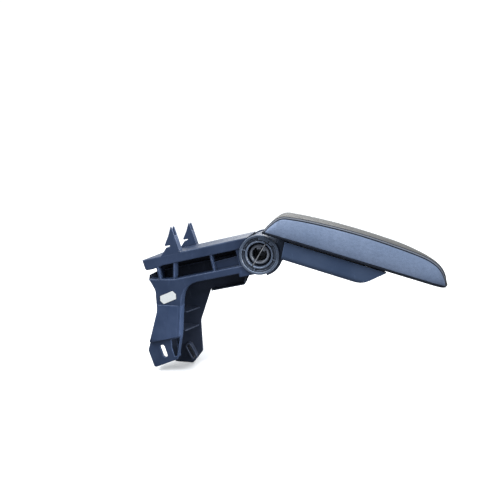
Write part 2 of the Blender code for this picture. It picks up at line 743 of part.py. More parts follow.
def drill(shell, through):
    """Bolt holes of one shell: right through with a seat for the head, or blind."""
    side = 1.0 if through else -1.0
    for place in BOLT_PLACES:
        far = CARRIER_HALF + OVER if through else CARRIER_HALF - BOSS_BLIND
        ends = sorted((0.0, side * far))
        cut(shell, prism(circle(BOLT_RADIUS + GAP, place, 16), *ends))
        if through:
            seat = CARRIER_HALF - BOLT_HEAD_HEIGHT - GAP
            cut(shell, prism(circle(BOLT_HEAD_RADIUS + GAP, place, 20), seat, CARRIER_HALF + 2.0 * OVER))


def spine_outline():
    """Side view of the web between the two shells."""
    arc = [
        (HUB_X + (BARREL_RADIUS + 1.6 * MM) * math.cos(math.radians(a)),
         HUB_Z + (BARREL_RADIUS + 1.6 * MM) * math.sin(math.radians(a)))
        for a in range(140, 236, 8)
    ]
    rear = rounded((
        beam(SPINE_NOSE_S, SPINE_LOW + 9.5 * MM, 1.5 * MM),
        beam(SPINE_NOSE_S + 7.5 * MM, SPINE_LOW, 1.5 * MM),
        beam(SPINE_CORNER_S, SPINE_LOW, 4.0 * MM),
        (53.0 * MM, 43.0 * MM, 20.0 * MM),
        (55.0 * MM, -14.0 * MM, 2.0 * MM),
        (37.5 * MM, -37.5 * MM, 6.0 * MM),
        (3.5 * MM, -38.0 * MM, 4.0 * MM),
        (-14.0 * MM, 0.0, 10.0 * MM),
        (1.5 * MM, 72.0 * MM, 20.0 * MM),
        (-6.0 * MM, 112.0 * MM, 0.0),
        (-20.0 * MM, 116.0 * MM, 1.0 * MM),
        (-20.0 * MM, 124.0 * MM, 1.0 * MM),
        beam(176.0 * MM, RAIL_LOW),
        beam(176.0 * MM, RAIL_TOP),
        beam(14.5 * MM, RAIL_TOP),
    ))
    return rear + arc


def gusset(height, edge_x, side):
    """Flat rib that stands out from the web and slants back from its front edge."""
    near = side * (CARRIER_HALF - SHELL_DEPTH - OVER)
    outline = [
        (4.0 * MM, side * 0.5 * SPINE_HALF),
        (edge_x, side * 0.5 * SPINE_HALF),
        (edge_x, side * SPINE_HALF),
        (edge_x - 14.0 * MM, near),
        (4.0 * MM, near),
    ]
    return prism(outline, height - 0.5 * SPINE_RIB, height + 0.5 * SPINE_RIB, axis="Z")


def build_spine():
    """Middle web with gussets, bolt sleeves, the rear cross bar and the slotted boss at the foot."""
    reach = CARRIER_HALF - SHELL_DEPTH - GAP
    spine = prism(spine_outline(), -SPINE_HALF, SPINE_HALF)
    for height, edge_x in SPINE_RIBS:
        for side in (-1.0, 1.0):
            join(spine, gusset(height, edge_x, side))
    tab = rounded((
        (-26.0 * MM, 117.5 * MM, 1.0 * MM),
        (-24.0 * MM, 127.5 * MM, 1.5 * MM),
        (-14.5 * MM, 131.5 * MM, 1.0 * MM),
        (-8.0 * MM, 123.0 * MM, 0.0),
        (-10.0 * MM, 114.0 * MM, 0.0),
    ))
    join(spine, prism(tab, -reach, reach))
    flange = [beam(s, h)[:2] for s, h in (
        (SPINE_NOSE_S + 8.0 * MM, SPINE_LOW - GAP),
        (SPINE_CORNER_S - 5.0 * MM, SPINE_LOW - GAP),
        (SPINE_CORNER_S - 5.0 * MM, SPINE_LOW - GAP + SPINE_RIB),
        (SPINE_NOSE_S + 8.0 * MM, SPINE_LOW - GAP + SPINE_RIB),
    )]
    join(spine, prism(flange, -SPINE_FLANGE, SPINE_FLANGE))
    nose = bar(beam(SPINE_NOSE_S + 1.6 * MM, -30.0 * MM)[:2], beam(SPINE_NOSE_S + 8.6 * MM, SPINE_LOW)[:2], SPINE_RIB)
    join(spine, prism(nose, -SPINE_FLANGE + OVER, SPINE_FLANGE - OVER))
    ledge = bar(beam(40.0 * MM, SPINE_LEDGE_H)[:2], beam(168.0 * MM, SPINE_LEDGE_H)[:2], SPINE_RIB)
    join(spine, prism(ledge, -SPINE_LEDGE, SPINE_LEDGE))
    for place in LEG_BOLTS:
        join(spine, prism(circle(BOSS_RADIUS, place, 16), -reach, reach))
    boss_centre = (36.5 * MM, -13.0 * MM)
    inner_length, inner_width = SLOT_BOSS_LENGTH - 2.0 * SLOT_BOSS_WALL, SLOT_BOSS_WIDTH - 2.0 * SLOT_BOSS_WALL
    boss = obround(boss_centre, SLOT_BOSS_LENGTH, SLOT_BOSS_WIDTH, SLOT_BOSS_TILT)
    slot = obround(boss_centre, inner_length, inner_width, SLOT_BOSS_TILT)
    join(spine, prism(boss, -SPINE_HALF - SLOT_BOSS_HEIGHT, SPINE_HALF + SLOT_BOSS_HEIGHT))
    cut(spine, prism(slot, -0.5 * CARRIER_HALF, 0.5 * CARRIER_HALF))
    for place in BOLT_PLACES:
        cut(spine, prism(circle(BOLT_RADIUS + GAP, place, 16), -CARRIER_HALF, CARRIER_HALF))
    return spine


def build_bolt(place):
    """Through bolt from the far shell into the near one's blind boss."""
    head = CARRIER_HALF - BOLT_HEAD_HEIGHT
    tip = -CARRIER_HALF + BOSS_BLIND + GAP
    bolt = prism(circle(BOLT_RADIUS, place, 12), tip, head + 0.5 * BOLT_HEAD_HEIGHT)
    join(bolt, prism(circle(BOLT_HEAD_RADIUS, place, 18), head, CARRIER_HALF))
    return cut(bolt, prism(circle(0.5 * BOLT_HEAD_RADIUS, place, 6), head + 1.2 * MM, CARRIER_HALF + OVER))


def build_label():
    """Blank paper label with cut corners on the leg's near face."""
    tip, half_width = 0.5 * LABEL_LENGTH, 0.5 * LABEL_WIDTH
    shoulder = tip - LABEL_CUT
    corners = ((-shoulder, -half_width), (shoulder, -half_width), (tip, 0.0))
    corners += ((shoulder, half_width), (-shoulder, half_width), (-tip, 0.0))
    cos, sin = math.cos(LABEL_TILT), math.sin(LABEL_TILT)
    outline = [(LABEL_X + a * cos - b * sin, LABEL_Z + a * sin + b * cos) for a, b in corners]
    front = -CARRIER_HALF - GAP - LABEL_THICKNESS
    return prism(outline, front, front + LABEL_THICKNESS)


# Hub

def build_hub_ring():
    """Near hub ring: a grooved flange with tabs, lugs and teeth, and the spigot that the arm turns on."""
    face = -CARRIER_HALF - RING_PROUD
    seat = face + RING_FLANGE
    crest = face + 0.3 * MM
    ring = turned((
        (RING_RADIUS, seat),
        (RING_RADIUS, face + 0.8 * MM),
        (RING_RADIUS - 0.8 * MM, face),
        (GROOVE_OUTER + 0.6 * MM, face),
        (GROOVE_OUTER, face + 0.6 * MM),
        (GROOVE_OUTER, face + 2.5 * MM),
        (GROOVE_STEP, face + 2.5 * MM),
        (GROOVE_STEP, face + 3.5 * MM),
        (GROOVE_INNER, face + 3.5 * MM),
        (SPIGOT_OUTER, crest + 0.7 * MM),
        (SPIGOT_OUTER - 0.7 * MM, crest),
        (SPIGOT_INNER + 0.7 * MM, crest),
        (SPIGOT_INNER, crest + 0.7 * MM),
        (SPIGOT_INNER, -SPIGOT_END_Y),
        (SPIGOT_OUTER, -SPIGOT_END_Y),
        (SPIGOT_OUTER, seat),
    ), HUB, 56)
    for angle in TAB_ANGLES:
        tab = sector(GROOVE_INNER - 0.8 * MM, GROOVE_OUTER + 0.5 * MM, angle - 1.6, angle + 1.6, HUB)
        join(ring, prism(tab, face + 0.9 * MM, seat - 0.5 * MM))
    for start, end in SECTOR_LUGS:
        lug = sector(GROOVE_STEP - 1.0 * MM, GROOVE_OUTER + 0.5 * MM, start, end, HUB, 12.0)
        join(ring, prism(lug, face + 0.5 * MM, seat - 0.5 * MM))
    first, last = TOOTH_ANGLES
    for index in range(TOOTH_COUNT):
        angle = first + (last - first) * (index + 0.5) / TOOTH_COUNT
        tooth = sector(GROOVE_INNER - 0.2 * MM, GROOVE_STEP + 0.3 * MM, angle - 0.9, angle + 0.9, HUB)
        join(ring, prism(tooth, face + 2.9 * MM, seat - 0.5 * MM))
    return ring


def notch_for_pin(ring):
    """Two slots in the inner ring, where the cross pin lies."""
    reach = SPIGOT_OUTER + 1.2 * MM
    along = Vector((math.cos(PIN_ANGLE), math.sin(PIN_ANGLE)))
    for side in (-1.0, 1.0):
        start = Vector(HUB) + along * (side * (SPIGOT_INNER - OVER))
        end = Vector(HUB) + along * (side * reach)
        slot = bar(start, end, 2.0 * (PIN_RADIUS + GAP))
        cut(ring, prism(slot, -CARRIER_HALF - RING_PROUD - OVER, -PIN_Y + PIN_RADIUS + GAP))
    return ring


def build_cross_pin():
    """Straight steel wire across the hub."""
    along = Vector((math.cos(PIN_ANGLE), 0.0, math.sin(PIN_ANGLE))) * PIN_HALF_LENGTH
    centre = Vector((HUB_X, -PIN_Y, HUB_Z))
    return wire([centre - along, centre + along], PIN_RADIUS, 8)


def build_spring():
    """Torsion spring in the pivot tube, with one end led out to the cross pin."""
    start_y = -TUBE_HALF + SPRING_SET_BACK
    steps = 14
    first = PIN_ANGLE + math.pi
    centre = Vector((HUB_X, 0.0, HUB_Z))

    def place(angle, y):
        return centre + Vector((SPRING_RADIUS * math.cos(angle), y, SPRING_RADIUS * math.sin(angle)))

    points = [
        place(first, -PIN_Y + PIN_RADIUS + GAP),
        place(first, start_y - 1.2 * MM),
        place(first + 0.08, start_y - 0.3 * MM),
    ]
    for index in range(1, SPRING_TURNS * steps + 1):
        y = start_y + (SPRING_LENGTH - 2.0 * WIRE_RADIUS) * index / (SPRING_TURNS * steps)
        points.append(place(first + 2.0 * math.pi * index / steps, y))
    return wire(points, WIRE_RADIUS, 6)


# Arm, in its own directions: u forward, w up from the hub axis

AXIS = (0.0, 0.0)


def build_pivot_tube():
    """Sleeve through the barrel, with two inward lugs at each end and a closing web."""
    tube = turned((
        (TUBE_OUTER, -TUBE_HALF + 1.0 * MM),
        (TUBE_OUTER - 1.2 * MM, -TUBE_HALF),
        (TUBE_INNER + 0.8 * MM, -TUBE_HALF),
        (TUBE_INNER, -TUBE_HALF + 0.8 * MM),
        (TUBE_INNER, TUBE_HALF - 0.8 * MM),
        (TUBE_INNER + 0.8 * MM, TUBE_HALF),
        (TUBE_OUTER - 1.2 * MM, TUBE_HALF),
        (TUBE_OUTER, TUBE_HALF - 1.0 * MM),
    ), AXIS, 40)
    turn = math.degrees(ARM_SLOPE)
    for start, end in TUBE_LUGS:
        lug = sector(TUBE_LUG_INNER, TUBE_INNER + 1.0 * MM, start + turn, end + turn, AXIS, 12.0)
        join(tube, prism(lug, -TUBE_HALF + 0.6 * MM, -TUBE_HALF + TUBE_LUG_DEPTH))
    web_start = -TUBE_HALF + SPRING_SET_BACK + SPRING_LENGTH + GAP
    join(tube, prism(circle(TUBE_INNER + 1.0 * MM, AXIS, 40), web_start, web_start + TUBE_WEB))
    return tube


def build_bush():
    """Near bearing bush, pressed into the barrel's end."""
    inner, outer = SPIGOT_OUTER + GAP, SPIGOT_OUTER + GAP + BUSH_WALL
    inner_end = SPIGOT_END_Y - 0.5 * MM
    return turned(((inner, -BARREL_HALF), (outer, -BARREL_HALF), (outer, -inner_end), (inner, -inner_end)), AXIS, 40)


def build_washer():
    """Near thrust washer between the barrel and the carrier's cheek."""
    inner = SPIGOT_OUTER + 2.0 * GAP
    outer = BARREL_RADIUS
    faces = (-CHEEK_INNER_Y + GAP, -BARREL_HALF - GAP)
    return turned(((inner, faces[0]), (outer, faces[0]), (outer, faces[1]), (inner, faces[1])), AXIS, 40)


def chin_outline():
    """Side view of the neck: the round chin under the hub and the way over to the tongue."""
    arc = [math.radians(a) for a in range(-round(CHIN_ANGLE), 1, 8)]
    chin = [(CHIN_RADIUS * math.cos(a), CHIN_RADIUS * math.sin(a)) for a in arc]
    rest = [
        (NECK_END_U - 2.0 * MM, CORE_LOW_W - 5.0 * MM),
        (NECK_END_U, CORE_LOW_W),
        (NECK_END_U, PLATE_TOP_W),
        (NECK_TOP_U + 9.0 * MM, NECK_TOP_W),
        (NECK_TOP_U, NECK_TOP_W),
        (NECK_TOP_U - 0.5 * MM, NECK_TOP_U - 0.5 * MM),
    ]
    return [(0.0, 0.0)] + chin + rest


def build_arm_core():
    """Barrel, neck and hollow tongue of the arm in one moulding."""
    core = prism(circle(BARREL_RADIUS, AXIS, 56), -BARREL_HALF, BARREL_HALF)
    join(core, prism(chin_outline(), -CORE_HALF, CORE_HALF))
    start = NECK_END_U - 10.0 * MM
    outer = [(start, CORE_LOW_W), (CORE_END_U, CORE_LOW_W), (CORE_END_U, PLATE_TOP_W), (start, PLATE_TOP_W)]
    tongue = prism(outer, -CORE_HALF, CORE_HALF)
    hollow_end, hollow_side = CORE_END_U - CORE_WALL, CORE_HALF - CORE_WALL
    hollow = box((NECK_END_U, hollow_end), (-hollow_side, hollow_side), (CORE_LOW_W - OVER, PLATE_TOP_W - CORE_WALL))
    cut(tongue, hollow)
    for u in CORE_RIBS_U:
        sides = (-hollow_side - OVER, hollow_side + OVER)
        join(tongue, box((u, u + SPINE_RIB), sides, (CORE_LOW_W, PLATE_TOP_W - 0.5 * CORE_WALL)))
    for u in SHELL_SCREWS_U:
        boss = circle(SCREW_RADIUS + BOSS_WALL, (u, 0.0), 16)
        join(tongue, prism(boss, CORE_LOW_W, PLATE_TOP_W - 0.5 * CORE_WALL, axis="Z"))
    join(core, tongue)
    for u in SHELL_SCREWS_U:
        hole = circle(SCREW_RADIUS + GAP, (u, 0.0), 12)
        cut(core, prism(hole, CORE_LOW_W - OVER, SHELL_LOW_W + SCREW_LENGTH + GAP, axis="Z"))
    cut(core, prism(circle(TUBE_OUTER + GAP, AXIS, 40), -BARREL_HALF - OVER, BARREL_HALF + OVER))
    seat = circle(SPIGOT_OUTER + 2.0 * GAP + BUSH_WALL, AXIS, 40)
    bottom = SPIGOT_END_Y - 0.5 * MM - GAP
    cut(core, prism(seat, -BARREL_HALF - OVER, -bottom), prism(seat, bottom, BARREL_HALF + OVER))
    return core


def shell_side(margin):
    """Side view of the under shell, moved in by a margin and open upwards when there is one."""
    top = SHELL_TOP_W + (OVER if margin > 0.0 else 0.0)
    lean = (SHELL_HEEL_U - SHELL_START_U) / (SHELL_TOP_W - SHELL_LOW_W)
    nose_run = (SHELL_END_U - SHELL_FLAT_U) / (SHELL_TOP_W - SHELL_LOW_W)
    low = SHELL_LOW_W + margin
    return rounded((
        (SHELL_START_U + margin - lean * (top - SHELL_TOP_W), top, 0.0),
        (SHELL_HEEL_U + margin, low, 2.0 * MM),
        (SHELL_FLAT_U - 0.6 * margin, low, 30.0 * MM),
        (SHELL_END_U - 1.6 * margin + nose_run * (top - SHELL_TOP_W), top, 0.0),
    ), math.radians(12.0))


def shell_section(margin):
    """Cross-section of the under shell, moved in by a margin."""
    top = SHELL_TOP_W + 2.0 * OVER
    side, foot = SHELL_HALF - margin, SHELL_HALF - SHELL_SIDE_LEAN - margin
    low = SHELL_LOW_W + margin
    radius = SHELL_CORNER - margin
    return rounded(((-side, top, 0.0), (side, top, 0.0), (foot, low, radius), (-foot, low, radius)))


def build_under_shell():
    """Lower cover of the arm: a thin hull, open at the top, with a gap for the neck."""
    def hull(margin, ends):
        body = prism(shell_side(margin), -SHELL_HALF - OVER, SHELL_HALF + OVER)
        return combine(body, prism(shell_section(margin), *ends, axis="X"), "INTERSECT")

    ends = (SHELL_START_U - 9.0 * MM, SHELL_END_U + 9.0 * MM)
    shell = cut(hull(0.0, ends), hull(SHELL_WALL, ends))
    neck = CORE_HALF + 2.0 * GAP
    cut(shell, box((SHELL_START_U - OVER, NECK_END_U + GAP), (-neck, neck), (-OVER, SHELL_TOP_W + OVER)))
    for u in SHELL_SCREWS_U:
        cut(shell, prism(circle(SCREW_RADIUS + GAP, (u, 0.0), 12), 0.0, CORE_LOW_W, axis="Z"))
    return shell


def build_screw(u, y, head_w, length):
    """Round-headed screw, driven upwards from its head's lower face."""
    screw = prism(circle(SCREW_RADIUS, (u, y), 10), head_w + 0.5 * SCREW_HEAD_HEIGHT, head_w + length, axis="Z")
    join(screw, prism(circle(SCREW_HEAD_RADIUS, (u, y), 16), head_w, head_w + SCREW_HEAD_HEIGHT, axis="Z"))
    return cut(screw, prism(circle(0.5 * SCREW_HEAD_RADIUS, (u, y), 6), head_w - OVER, head_w + 1.0 * MM, axis="Z"))


def build_rail():
    """Near slide rail: a folded sheet-steel channel with two lips."""
    base = PLATE_TOP_W + GAP
    half = 0.5 * RAIL_WIDTH
    section = [
        (-half, base), (half, base), (half, base + RAIL_HEIGHT), (0.5 * RAIL_SLOT, base + RAIL_HEIGHT),
        (0.5 * RAIL_SLOT, base + RAIL_HEIGHT - RAIL_SHEET), (half - RAIL_SHEET, base + RAIL_HEIGHT - RAIL_SHEET),
        (half - RAIL_SHEET, base + RAIL_SHEET), (-half + RAIL_SHEET, base + RAIL_SHEET),
        (-half + RAIL_SHEET, base + RAIL_HEIGHT - RAIL_SHEET), (-0.5 * RAIL_SLOT, base + RAIL_HEIGHT - RAIL_SHEET),
        (-0.5 * RAIL_SLOT, base + RAIL_HEIGHT), (-half, base + RAIL_HEIGHT),
    ]
    return prism([(y - RAIL_Y, w) for y, w in section], RAIL_START_U, RAIL_END_U, axis="X")


def build_shoe(u):
    """Near slider shoe: a tee whose head runs in the rail and whose stem carries the pad."""
    floor = PLATE_TOP_W + GAP + RAIL_SHEET + GAP
    shoulder = PLATE_TOP_W + RAIL_HEIGHT - RAIL_SHEET
    head = 0.5 * RAIL_WIDTH - RAIL_SHEET - GAP
    stem = 0.5 * RAIL_SLOT - GAP
    top = PAD_BASE_W - GAP
    section = [
        (-head, floor), (head, floor), (head, shoulder), (stem, shoulder),
        (stem, top), (-stem, top), (-stem, shoulder), (-head, shoulder),
    ]
    outline = [(y - RAIL_Y, w) for y, w in section]
    return prism(outline, u - 0.5 * SHOE_LENGTH, u + 0.5 * SHOE_LENGTH, axis="X")


# Pad

def plan_point(t, margin=0.0):
    """Place on the pad's near plan outline: straight, then round the nose's corner."""
    straight = PAD_NOSE_U - PAD_NOSE_RADIUS
    if t <= straight:
        return Vector((t, -PAD_HALF + margin))
    angle = min((t - straight) / PAD_NOSE_RADIUS, 0.5 * math.pi)
    radius = PAD_NOSE_RADIUS - margin
    return Vector((straight + radius * math.sin(angle), -PAD_HALF + PAD_NOSE_RADIUS - radius * math.cos(angle)))


def edge_height(t):
    return smooth_height(PAD_EDGE, t)


def panel_height(t, margin=0.0):
    """Upper edge of the side panel: the edge line moved square to itself by the welt."""
    step = 1.0 * MM
    slope = (edge_height(t + step) - edge_height(t - step)) / (2.0 * step)
    return edge_height(t) - (WELT + margin) * math.hypot(1.0, slope)


def crossing(height_of, start, end, level):
    """Place between two places at which a falling or rising height passes one level."""
    low, high = start, end
    for _ in range(40):
        middle = 0.5 * (low + high)
        if (height_of(middle) - level) * (height_of(low) - level) > 0.0:
            low = middle
        else:
            high = middle
    return 0.5 * (low + high)


PAD_MIDDLE_U = 0.5 * PAD_NOSE_U
PANEL_START = crossing(panel_height, PAD_REAR_U, PAD_MIDDLE_U, CUSHION_W + 0.8 * MM)
PANEL_END = crossing(panel_height, PAD_MIDDLE_U, PAD_EDGE[-1][0], CUSHION_W + 0.8 * MM)
WELT_START = crossing(edge_height, PAD_REAR_U, PAD_MIDDLE_U, CUSHION_W + 0.8 * MM)
WELT_END = crossing(edge_height, PAD_MIDDLE_U, PAD_EDGE[-1][0], CUSHION_W + 0.8 * MM)


def stations(start, end):
    """Places along the plan outline between two ends, from one grid that every strip shares."""
    rear, front = 32.0 * MM, PAD_NOSE_U - 39.0 * MM
    grid = [rear + (front - rear) * index / 12 for index in range(13)]
    grid += [rear - 4.0 * MM * index for index in range(1, 12)]
    grid += [front + 4.0 * MM * index for index in range(1, 14)]
    grid += [PANEL_START, PANEL_END, WELT_START, WELT_END]
    return [start] + sorted(t for t in grid if start + 0.01 * MM < t < end - 0.01 * MM) + [end]


def strip(start, end, low, high, outer, inner, name="blank"):
    """Curved strip along the plan outline between two heights and two depths."""
    sections = []
    for t in stations(start, end):
        front, back = plan_point(t, outer), plan_point(t, inner)
        bottom, top = low(t), max(high(t), low(t) + 0.4 * MM)
        sections.append([
            (front.x, front.y, bottom),
            (front.x, front.y, top),
            (back.x, back.y, top),
            (back.x, back.y, bottom),
        ])
    return loft(sections, name)


def build_panel():
    """Near side panel."""
    return strip(PANEL_START, PANEL_END, lambda _: CUSHION_W, panel_height, 0.0, PANEL)


def build_welt():
    """Near welt between the side panel and the top cover."""
    def low(t):
        return max(panel_height(t) + GAP, CUSHION_W)

    return strip(WELT_START, WELT_END, low, edge_height, 0.0, PANEL)


def build_side_recess():
    """Space that the near panel and welt take out of the cushion."""
    def low(_):
        return CUSHION_W - OVER

    def high(t):
        return edge_height(t) + GAP

    return strip(WELT_START - 2.0 * OVER, WELT_END + 2.0 * OVER, low, high, -OVER, PANEL + GAP)


def pad_section(u):
    """Cross-section of the pad at one place along it, with a rounded, crowned top."""
    straight = PAD_NOSE_U - PAD_NOSE_RADIUS
    t = u
    if u > straight:
        t = straight + PAD_NOSE_RADIUS * math.asin(min(1.0, (u - straight) / PAD_NOSE_RADIUS))
    half = -plan_point(t).y
    edge = max(edge_height(t), CUSHION_W + 0.3 * MM)
    top = max(smooth_height(PAD_TOP, u), edge + 0.2 * MM)
    side = [(half, CUSHION_W), (half, edge)]
    for share, rise in ((0.3, 0.45), (1.0, 0.8)):
        side.append((half - share * PAD_EDGE_ROUND, edge + rise * 0.6 * (top - edge)))
    side.append((0.55 * half, edge + 0.9 * (top - edge)))
    ring = [(y, w) for y, w in side] + [(0.0, top)] + [(-y, w) for y, w in reversed(side)]
    return [(u, y, w) for y, w in ring]


def base_outline(margin, rear, notch):
    """Plan view of a plate in the pad, with the notch for the carrier at its rear."""
    near = [tuple(plan_point(t, margin)) for t in stations(rear, PAD_NOSE_U + 0.57 * PAD_NOSE_RADIUS)
            if t == rear or t >= PAD_NOSE_U - PAD_NOSE_RADIUS]
    far = [(u, -y) for u, y in reversed(near)]
    opening = [(rear, NOTCH_HALF), (notch, NOTCH_HALF), (notch, -NOTCH_HALF), (rear, -NOTCH_HALF)]
    return near + far + (opening if notch > rear else [])


def build_pad_base():
    """Flat underside of the pad, with its screw holes."""
    rim = ((3.0 * PAD_BASE_MARGIN, 0.0), (1.4 * PAD_BASE_MARGIN, 0.3 * PAD_BASE), (PAD_BASE_MARGIN, PAD_BASE))
    rear = PAD_REAR_U + PAD_BASE_MARGIN
    base = loft([
        [(u, y, PAD_BASE_W + rise) for u, y in base_outline(margin, rear, NOTCH_U)]
        for margin, rise in rim
    ])
    for u, y in PAD_SCREWS:
        for side in (-1.0, 1.0):
            cut(base, prism(circle(SCREW_RADIUS + GAP, (u, side * y), 12), 0.0, NOTCH_W, axis="Z"))
            seat = circle(SCREW_HEAD_RADIUS + GAP, (u, side * y), 16)
            cut(base, prism(seat, PAD_BASE_W - OVER, PAD_BASE_W + 0.5 * PAD_BASE, axis="Z"))
    return base


def build_core_board():
    """Stiff board under the foam that the base is screwed to."""
    low = CUSHION_W
    rear = NOTCH_U + 2.0 * GAP
    board = prism(base_outline(CORE_BOARD_MARGIN, rear, rear), low, low + CORE_BOARD, axis="Z")
    for u, y in PAD_SCREWS:
        for side in (-1.0, 1.0):
            cut(board, prism(circle(SCREW_RADIUS + GAP, (u, side * y), 12), low - OVER, low + 2.0 * CORE_BOARD, axis="Z"))
    return board


def build_cushion():
    """Foam and top cover in one, with recesses for the base, the board, the side panels and the welts."""
    start = crossing(edge_height, PAD_REAR_U, PAD_MIDDLE_U, CUSHION_W + 0.4 * MM)
    cushion = loft([pad_section(u) for u in stations(start, PAD_NOSE_U - 0.5 * MM)])
    rear = NOTCH_U + GAP
    pocket = base_outline(CORE_BOARD_MARGIN - GAP, rear, rear)
    cut(cushion, prism(pocket, CUSHION_W - OVER, CUSHION_W + CORE_BOARD + GAP, axis="Z"))
    recess = build_side_recess()
    cut(cushion, mirrored(recess, "blank"), recess)
    cut(cushion, box((-20.0 * MM, NOTCH_U), (-NOTCH_HALF, NOTCH_HALF), (0.0, NOTCH_W)))
    return cushion


# The whole armrest

def build_armrest():
    clear_scene()
    carrier = empty("carrier_frame", (0.0, 0.0, 0.0))
    tilt = empty("tilt_axis", (HUB_X, 0.0, HUB_Z), ARM_SLOPE)
    slide = empty("slide_axis", (0.0, 0.0, 0.0), parent=tilt)

    near_shell = build_shell()
    far_shell = mirrored(near_shell, "blank")
    drill(near_shell, False)
    drill(far_shell, True)
    finish(near_shell, "carrier_near_shell", "carrier_plastic", carrier)
    finish(far_shell, "carrier_far_shell", "carrier_plastic", carrier)
    finish(build_spine(), "carrier_spine", "spine_plastic", carrier)
    for number, place in enumerate(BOLT_PLACES, 1):
        finish(build_bolt(place), f"through_bolt_{number}", "steel", carrier, True)
    finish(build_label(), "blank_label", "label_paper", carrier)

    near_ring = build_hub_ring()
    finish(mirrored(near_ring, "blank"), "hub_ring_far", "hub_plastic", carrier, True)
    finish(notch_for_pin(near_ring), "hub_ring_near", "hub_plastic", carrier, True)
    finish(build_cross_pin(), "cross_pin", "steel", carrier, True)
    finish(build_spring(), "torsion_spring", "steel", carrier, True)

    finish(build_arm_core(), "arm_core", "arm_plastic", tilt, True)
    finish(build_pivot_tube(), "pivot_tube", "sleeve_plastic", tilt, True)
    for kind, build in (("bearing_bush", build_bush), ("thrust_washer", build_washer)):
        near = build()
        finish(mirrored(near, "blank"), f"{kind}_far", "bearing_plastic", tilt, True)
        finish(near, f"{kind}_near", "bearing_plastic", tilt, True)
    finish(build_under_shell(), "under_shell", "under_shell_plastic", tilt, True)
    for number, u in enumerate(SHELL_SCREWS_U, 1):
        screw = build_screw(u, 0.0, SHELL_LOW_W - SCREW_HEAD_HEIGHT - GAP, SCREW_LENGTH)
        finish(screw, f"under_shell_screw_{number}", "steel", tilt, True)
    near_rail = build_rail()
    finish(mirrored(near_rail, "blank"), "slide_rail_far", "steel", tilt)
    finish(near_rail, "slide_rail_near", "steel", tilt)

    for number, u in enumerate(SHOES_U, 1):
        near = build_shoe(u)
        finish(mirrored(near, "blank"), f"slider_shoe_far_{number}", "bearing_plastic", slide)
        finish(near, f"slider_shoe_near_{number}", "bearing_plastic", slide)
    finish(build_pad_base(), "pad_base", "base_plastic", slide)
    finish(build_core_board(), "pad_core_board", "base_plastic", slide)
    finish(build_cushion(), "pad_cushion", "pad_skin", slide, True)
    for kind, build, look in (("side_panel", build_panel, "panel_skin"), ("welt", build_welt, "welt_skin")):
        near = build()
        finish(mirrored(near, "blank"), f"{kind}_far", look, slide, True)
        finish(near, f"{kind}_near", look, slide, True)
    number = 0
    for u, y in PAD_SCREWS:
        for side in (-1.0, 1.0):
            number += 1
            screw = build_screw(u, side * y, PAD_BASE_W - SCREW_HEAD_HEIGHT + 0.5 * PAD_BASE - GAP, 7.6 * MM)
            finish(screw, f"pad_screw_{number}", "steel", slide, True)


build_armrest()
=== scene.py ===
"""Looks for a car's centre armrest: moulded plastics, steel, paper, and a pad in seamed, grained skin."""
import math

import bmesh
import bpy
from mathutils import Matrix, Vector


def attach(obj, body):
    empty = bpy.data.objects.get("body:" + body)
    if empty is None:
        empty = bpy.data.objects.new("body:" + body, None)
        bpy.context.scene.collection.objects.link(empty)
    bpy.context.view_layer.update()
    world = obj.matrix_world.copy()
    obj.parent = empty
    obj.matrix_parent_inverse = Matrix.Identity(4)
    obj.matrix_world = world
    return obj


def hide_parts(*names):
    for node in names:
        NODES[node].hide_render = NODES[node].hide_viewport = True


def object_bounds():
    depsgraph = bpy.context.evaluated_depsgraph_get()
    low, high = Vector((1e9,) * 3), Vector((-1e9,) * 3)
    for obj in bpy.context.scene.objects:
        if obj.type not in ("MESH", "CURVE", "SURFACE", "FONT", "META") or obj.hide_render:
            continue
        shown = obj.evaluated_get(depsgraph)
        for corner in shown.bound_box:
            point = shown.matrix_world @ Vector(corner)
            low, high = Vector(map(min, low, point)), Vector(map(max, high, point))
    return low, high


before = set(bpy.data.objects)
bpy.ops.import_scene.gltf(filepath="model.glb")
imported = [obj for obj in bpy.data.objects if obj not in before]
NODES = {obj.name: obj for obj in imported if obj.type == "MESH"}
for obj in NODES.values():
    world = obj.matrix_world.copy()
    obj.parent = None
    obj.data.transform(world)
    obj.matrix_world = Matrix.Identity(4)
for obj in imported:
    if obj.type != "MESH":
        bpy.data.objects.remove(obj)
CAD_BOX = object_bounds()
MM = 0.001

HUB = Vector((0.160, 0.0, 0.169))
ARM_SLOPE = math.radians(15.8)

# Camera, placed from the hub
CAMERA_OFFSET = Vector((0.0620, -0.4945, 0.0832))
CAMERA_LOOK = Vector((-0.163, 0.9728, -0.1644))
CAMERA_LENS = 22.46
CAMERA_SENSOR = 36.0
CAMERA_CLIP = 0.01

# Sky: what the eye sees, and how strongly it lights along two axes (axis, from, to, strength there)
WHITE = (1.0, 1.0, 1.0, 1.0)
SKY_SEEN = 1.05
SKY_TINT = (0.93, 0.965, 1.0, 1.0)
SKY_LIGHT = (("Z", -0.1, 0.9, 0.16, 1.35), ("Y", 0.2, 0.9, 0.0, 0.6))

# Floor
FLOOR_HALF = 14.0
FLOOR_GAP = 0.2 * MM
FLOOR_DIM = (0.16, 0.16, 0.17, 1.0)
FLOOR_GLOW = 0.10

# Lights: name, place, point it faces, size, power and colour
LIGHTS = (
    ("above", (-0.45, -0.66, 1.30), (0.12, 0.0, 0.10), (1.0, 0.8), 18.5, (0.97, 0.985, 1.0)),
    ("right", (1.10, -0.24, 0.50), (0.03, 0.0, 0.13), (0.35, 0.35), 30.0, (1.0, 0.99, 0.97)),
    ("behind", (0.1, 1.2, 0.8), (0.12, 0.0, 0.10), (0.9, 0.6), 7.0, (0.98, 0.99, 1.0)),
)
LIT_FROM_RIGHT = ("carrier", "hub_ring", "cross_pin", "pivot_tube")

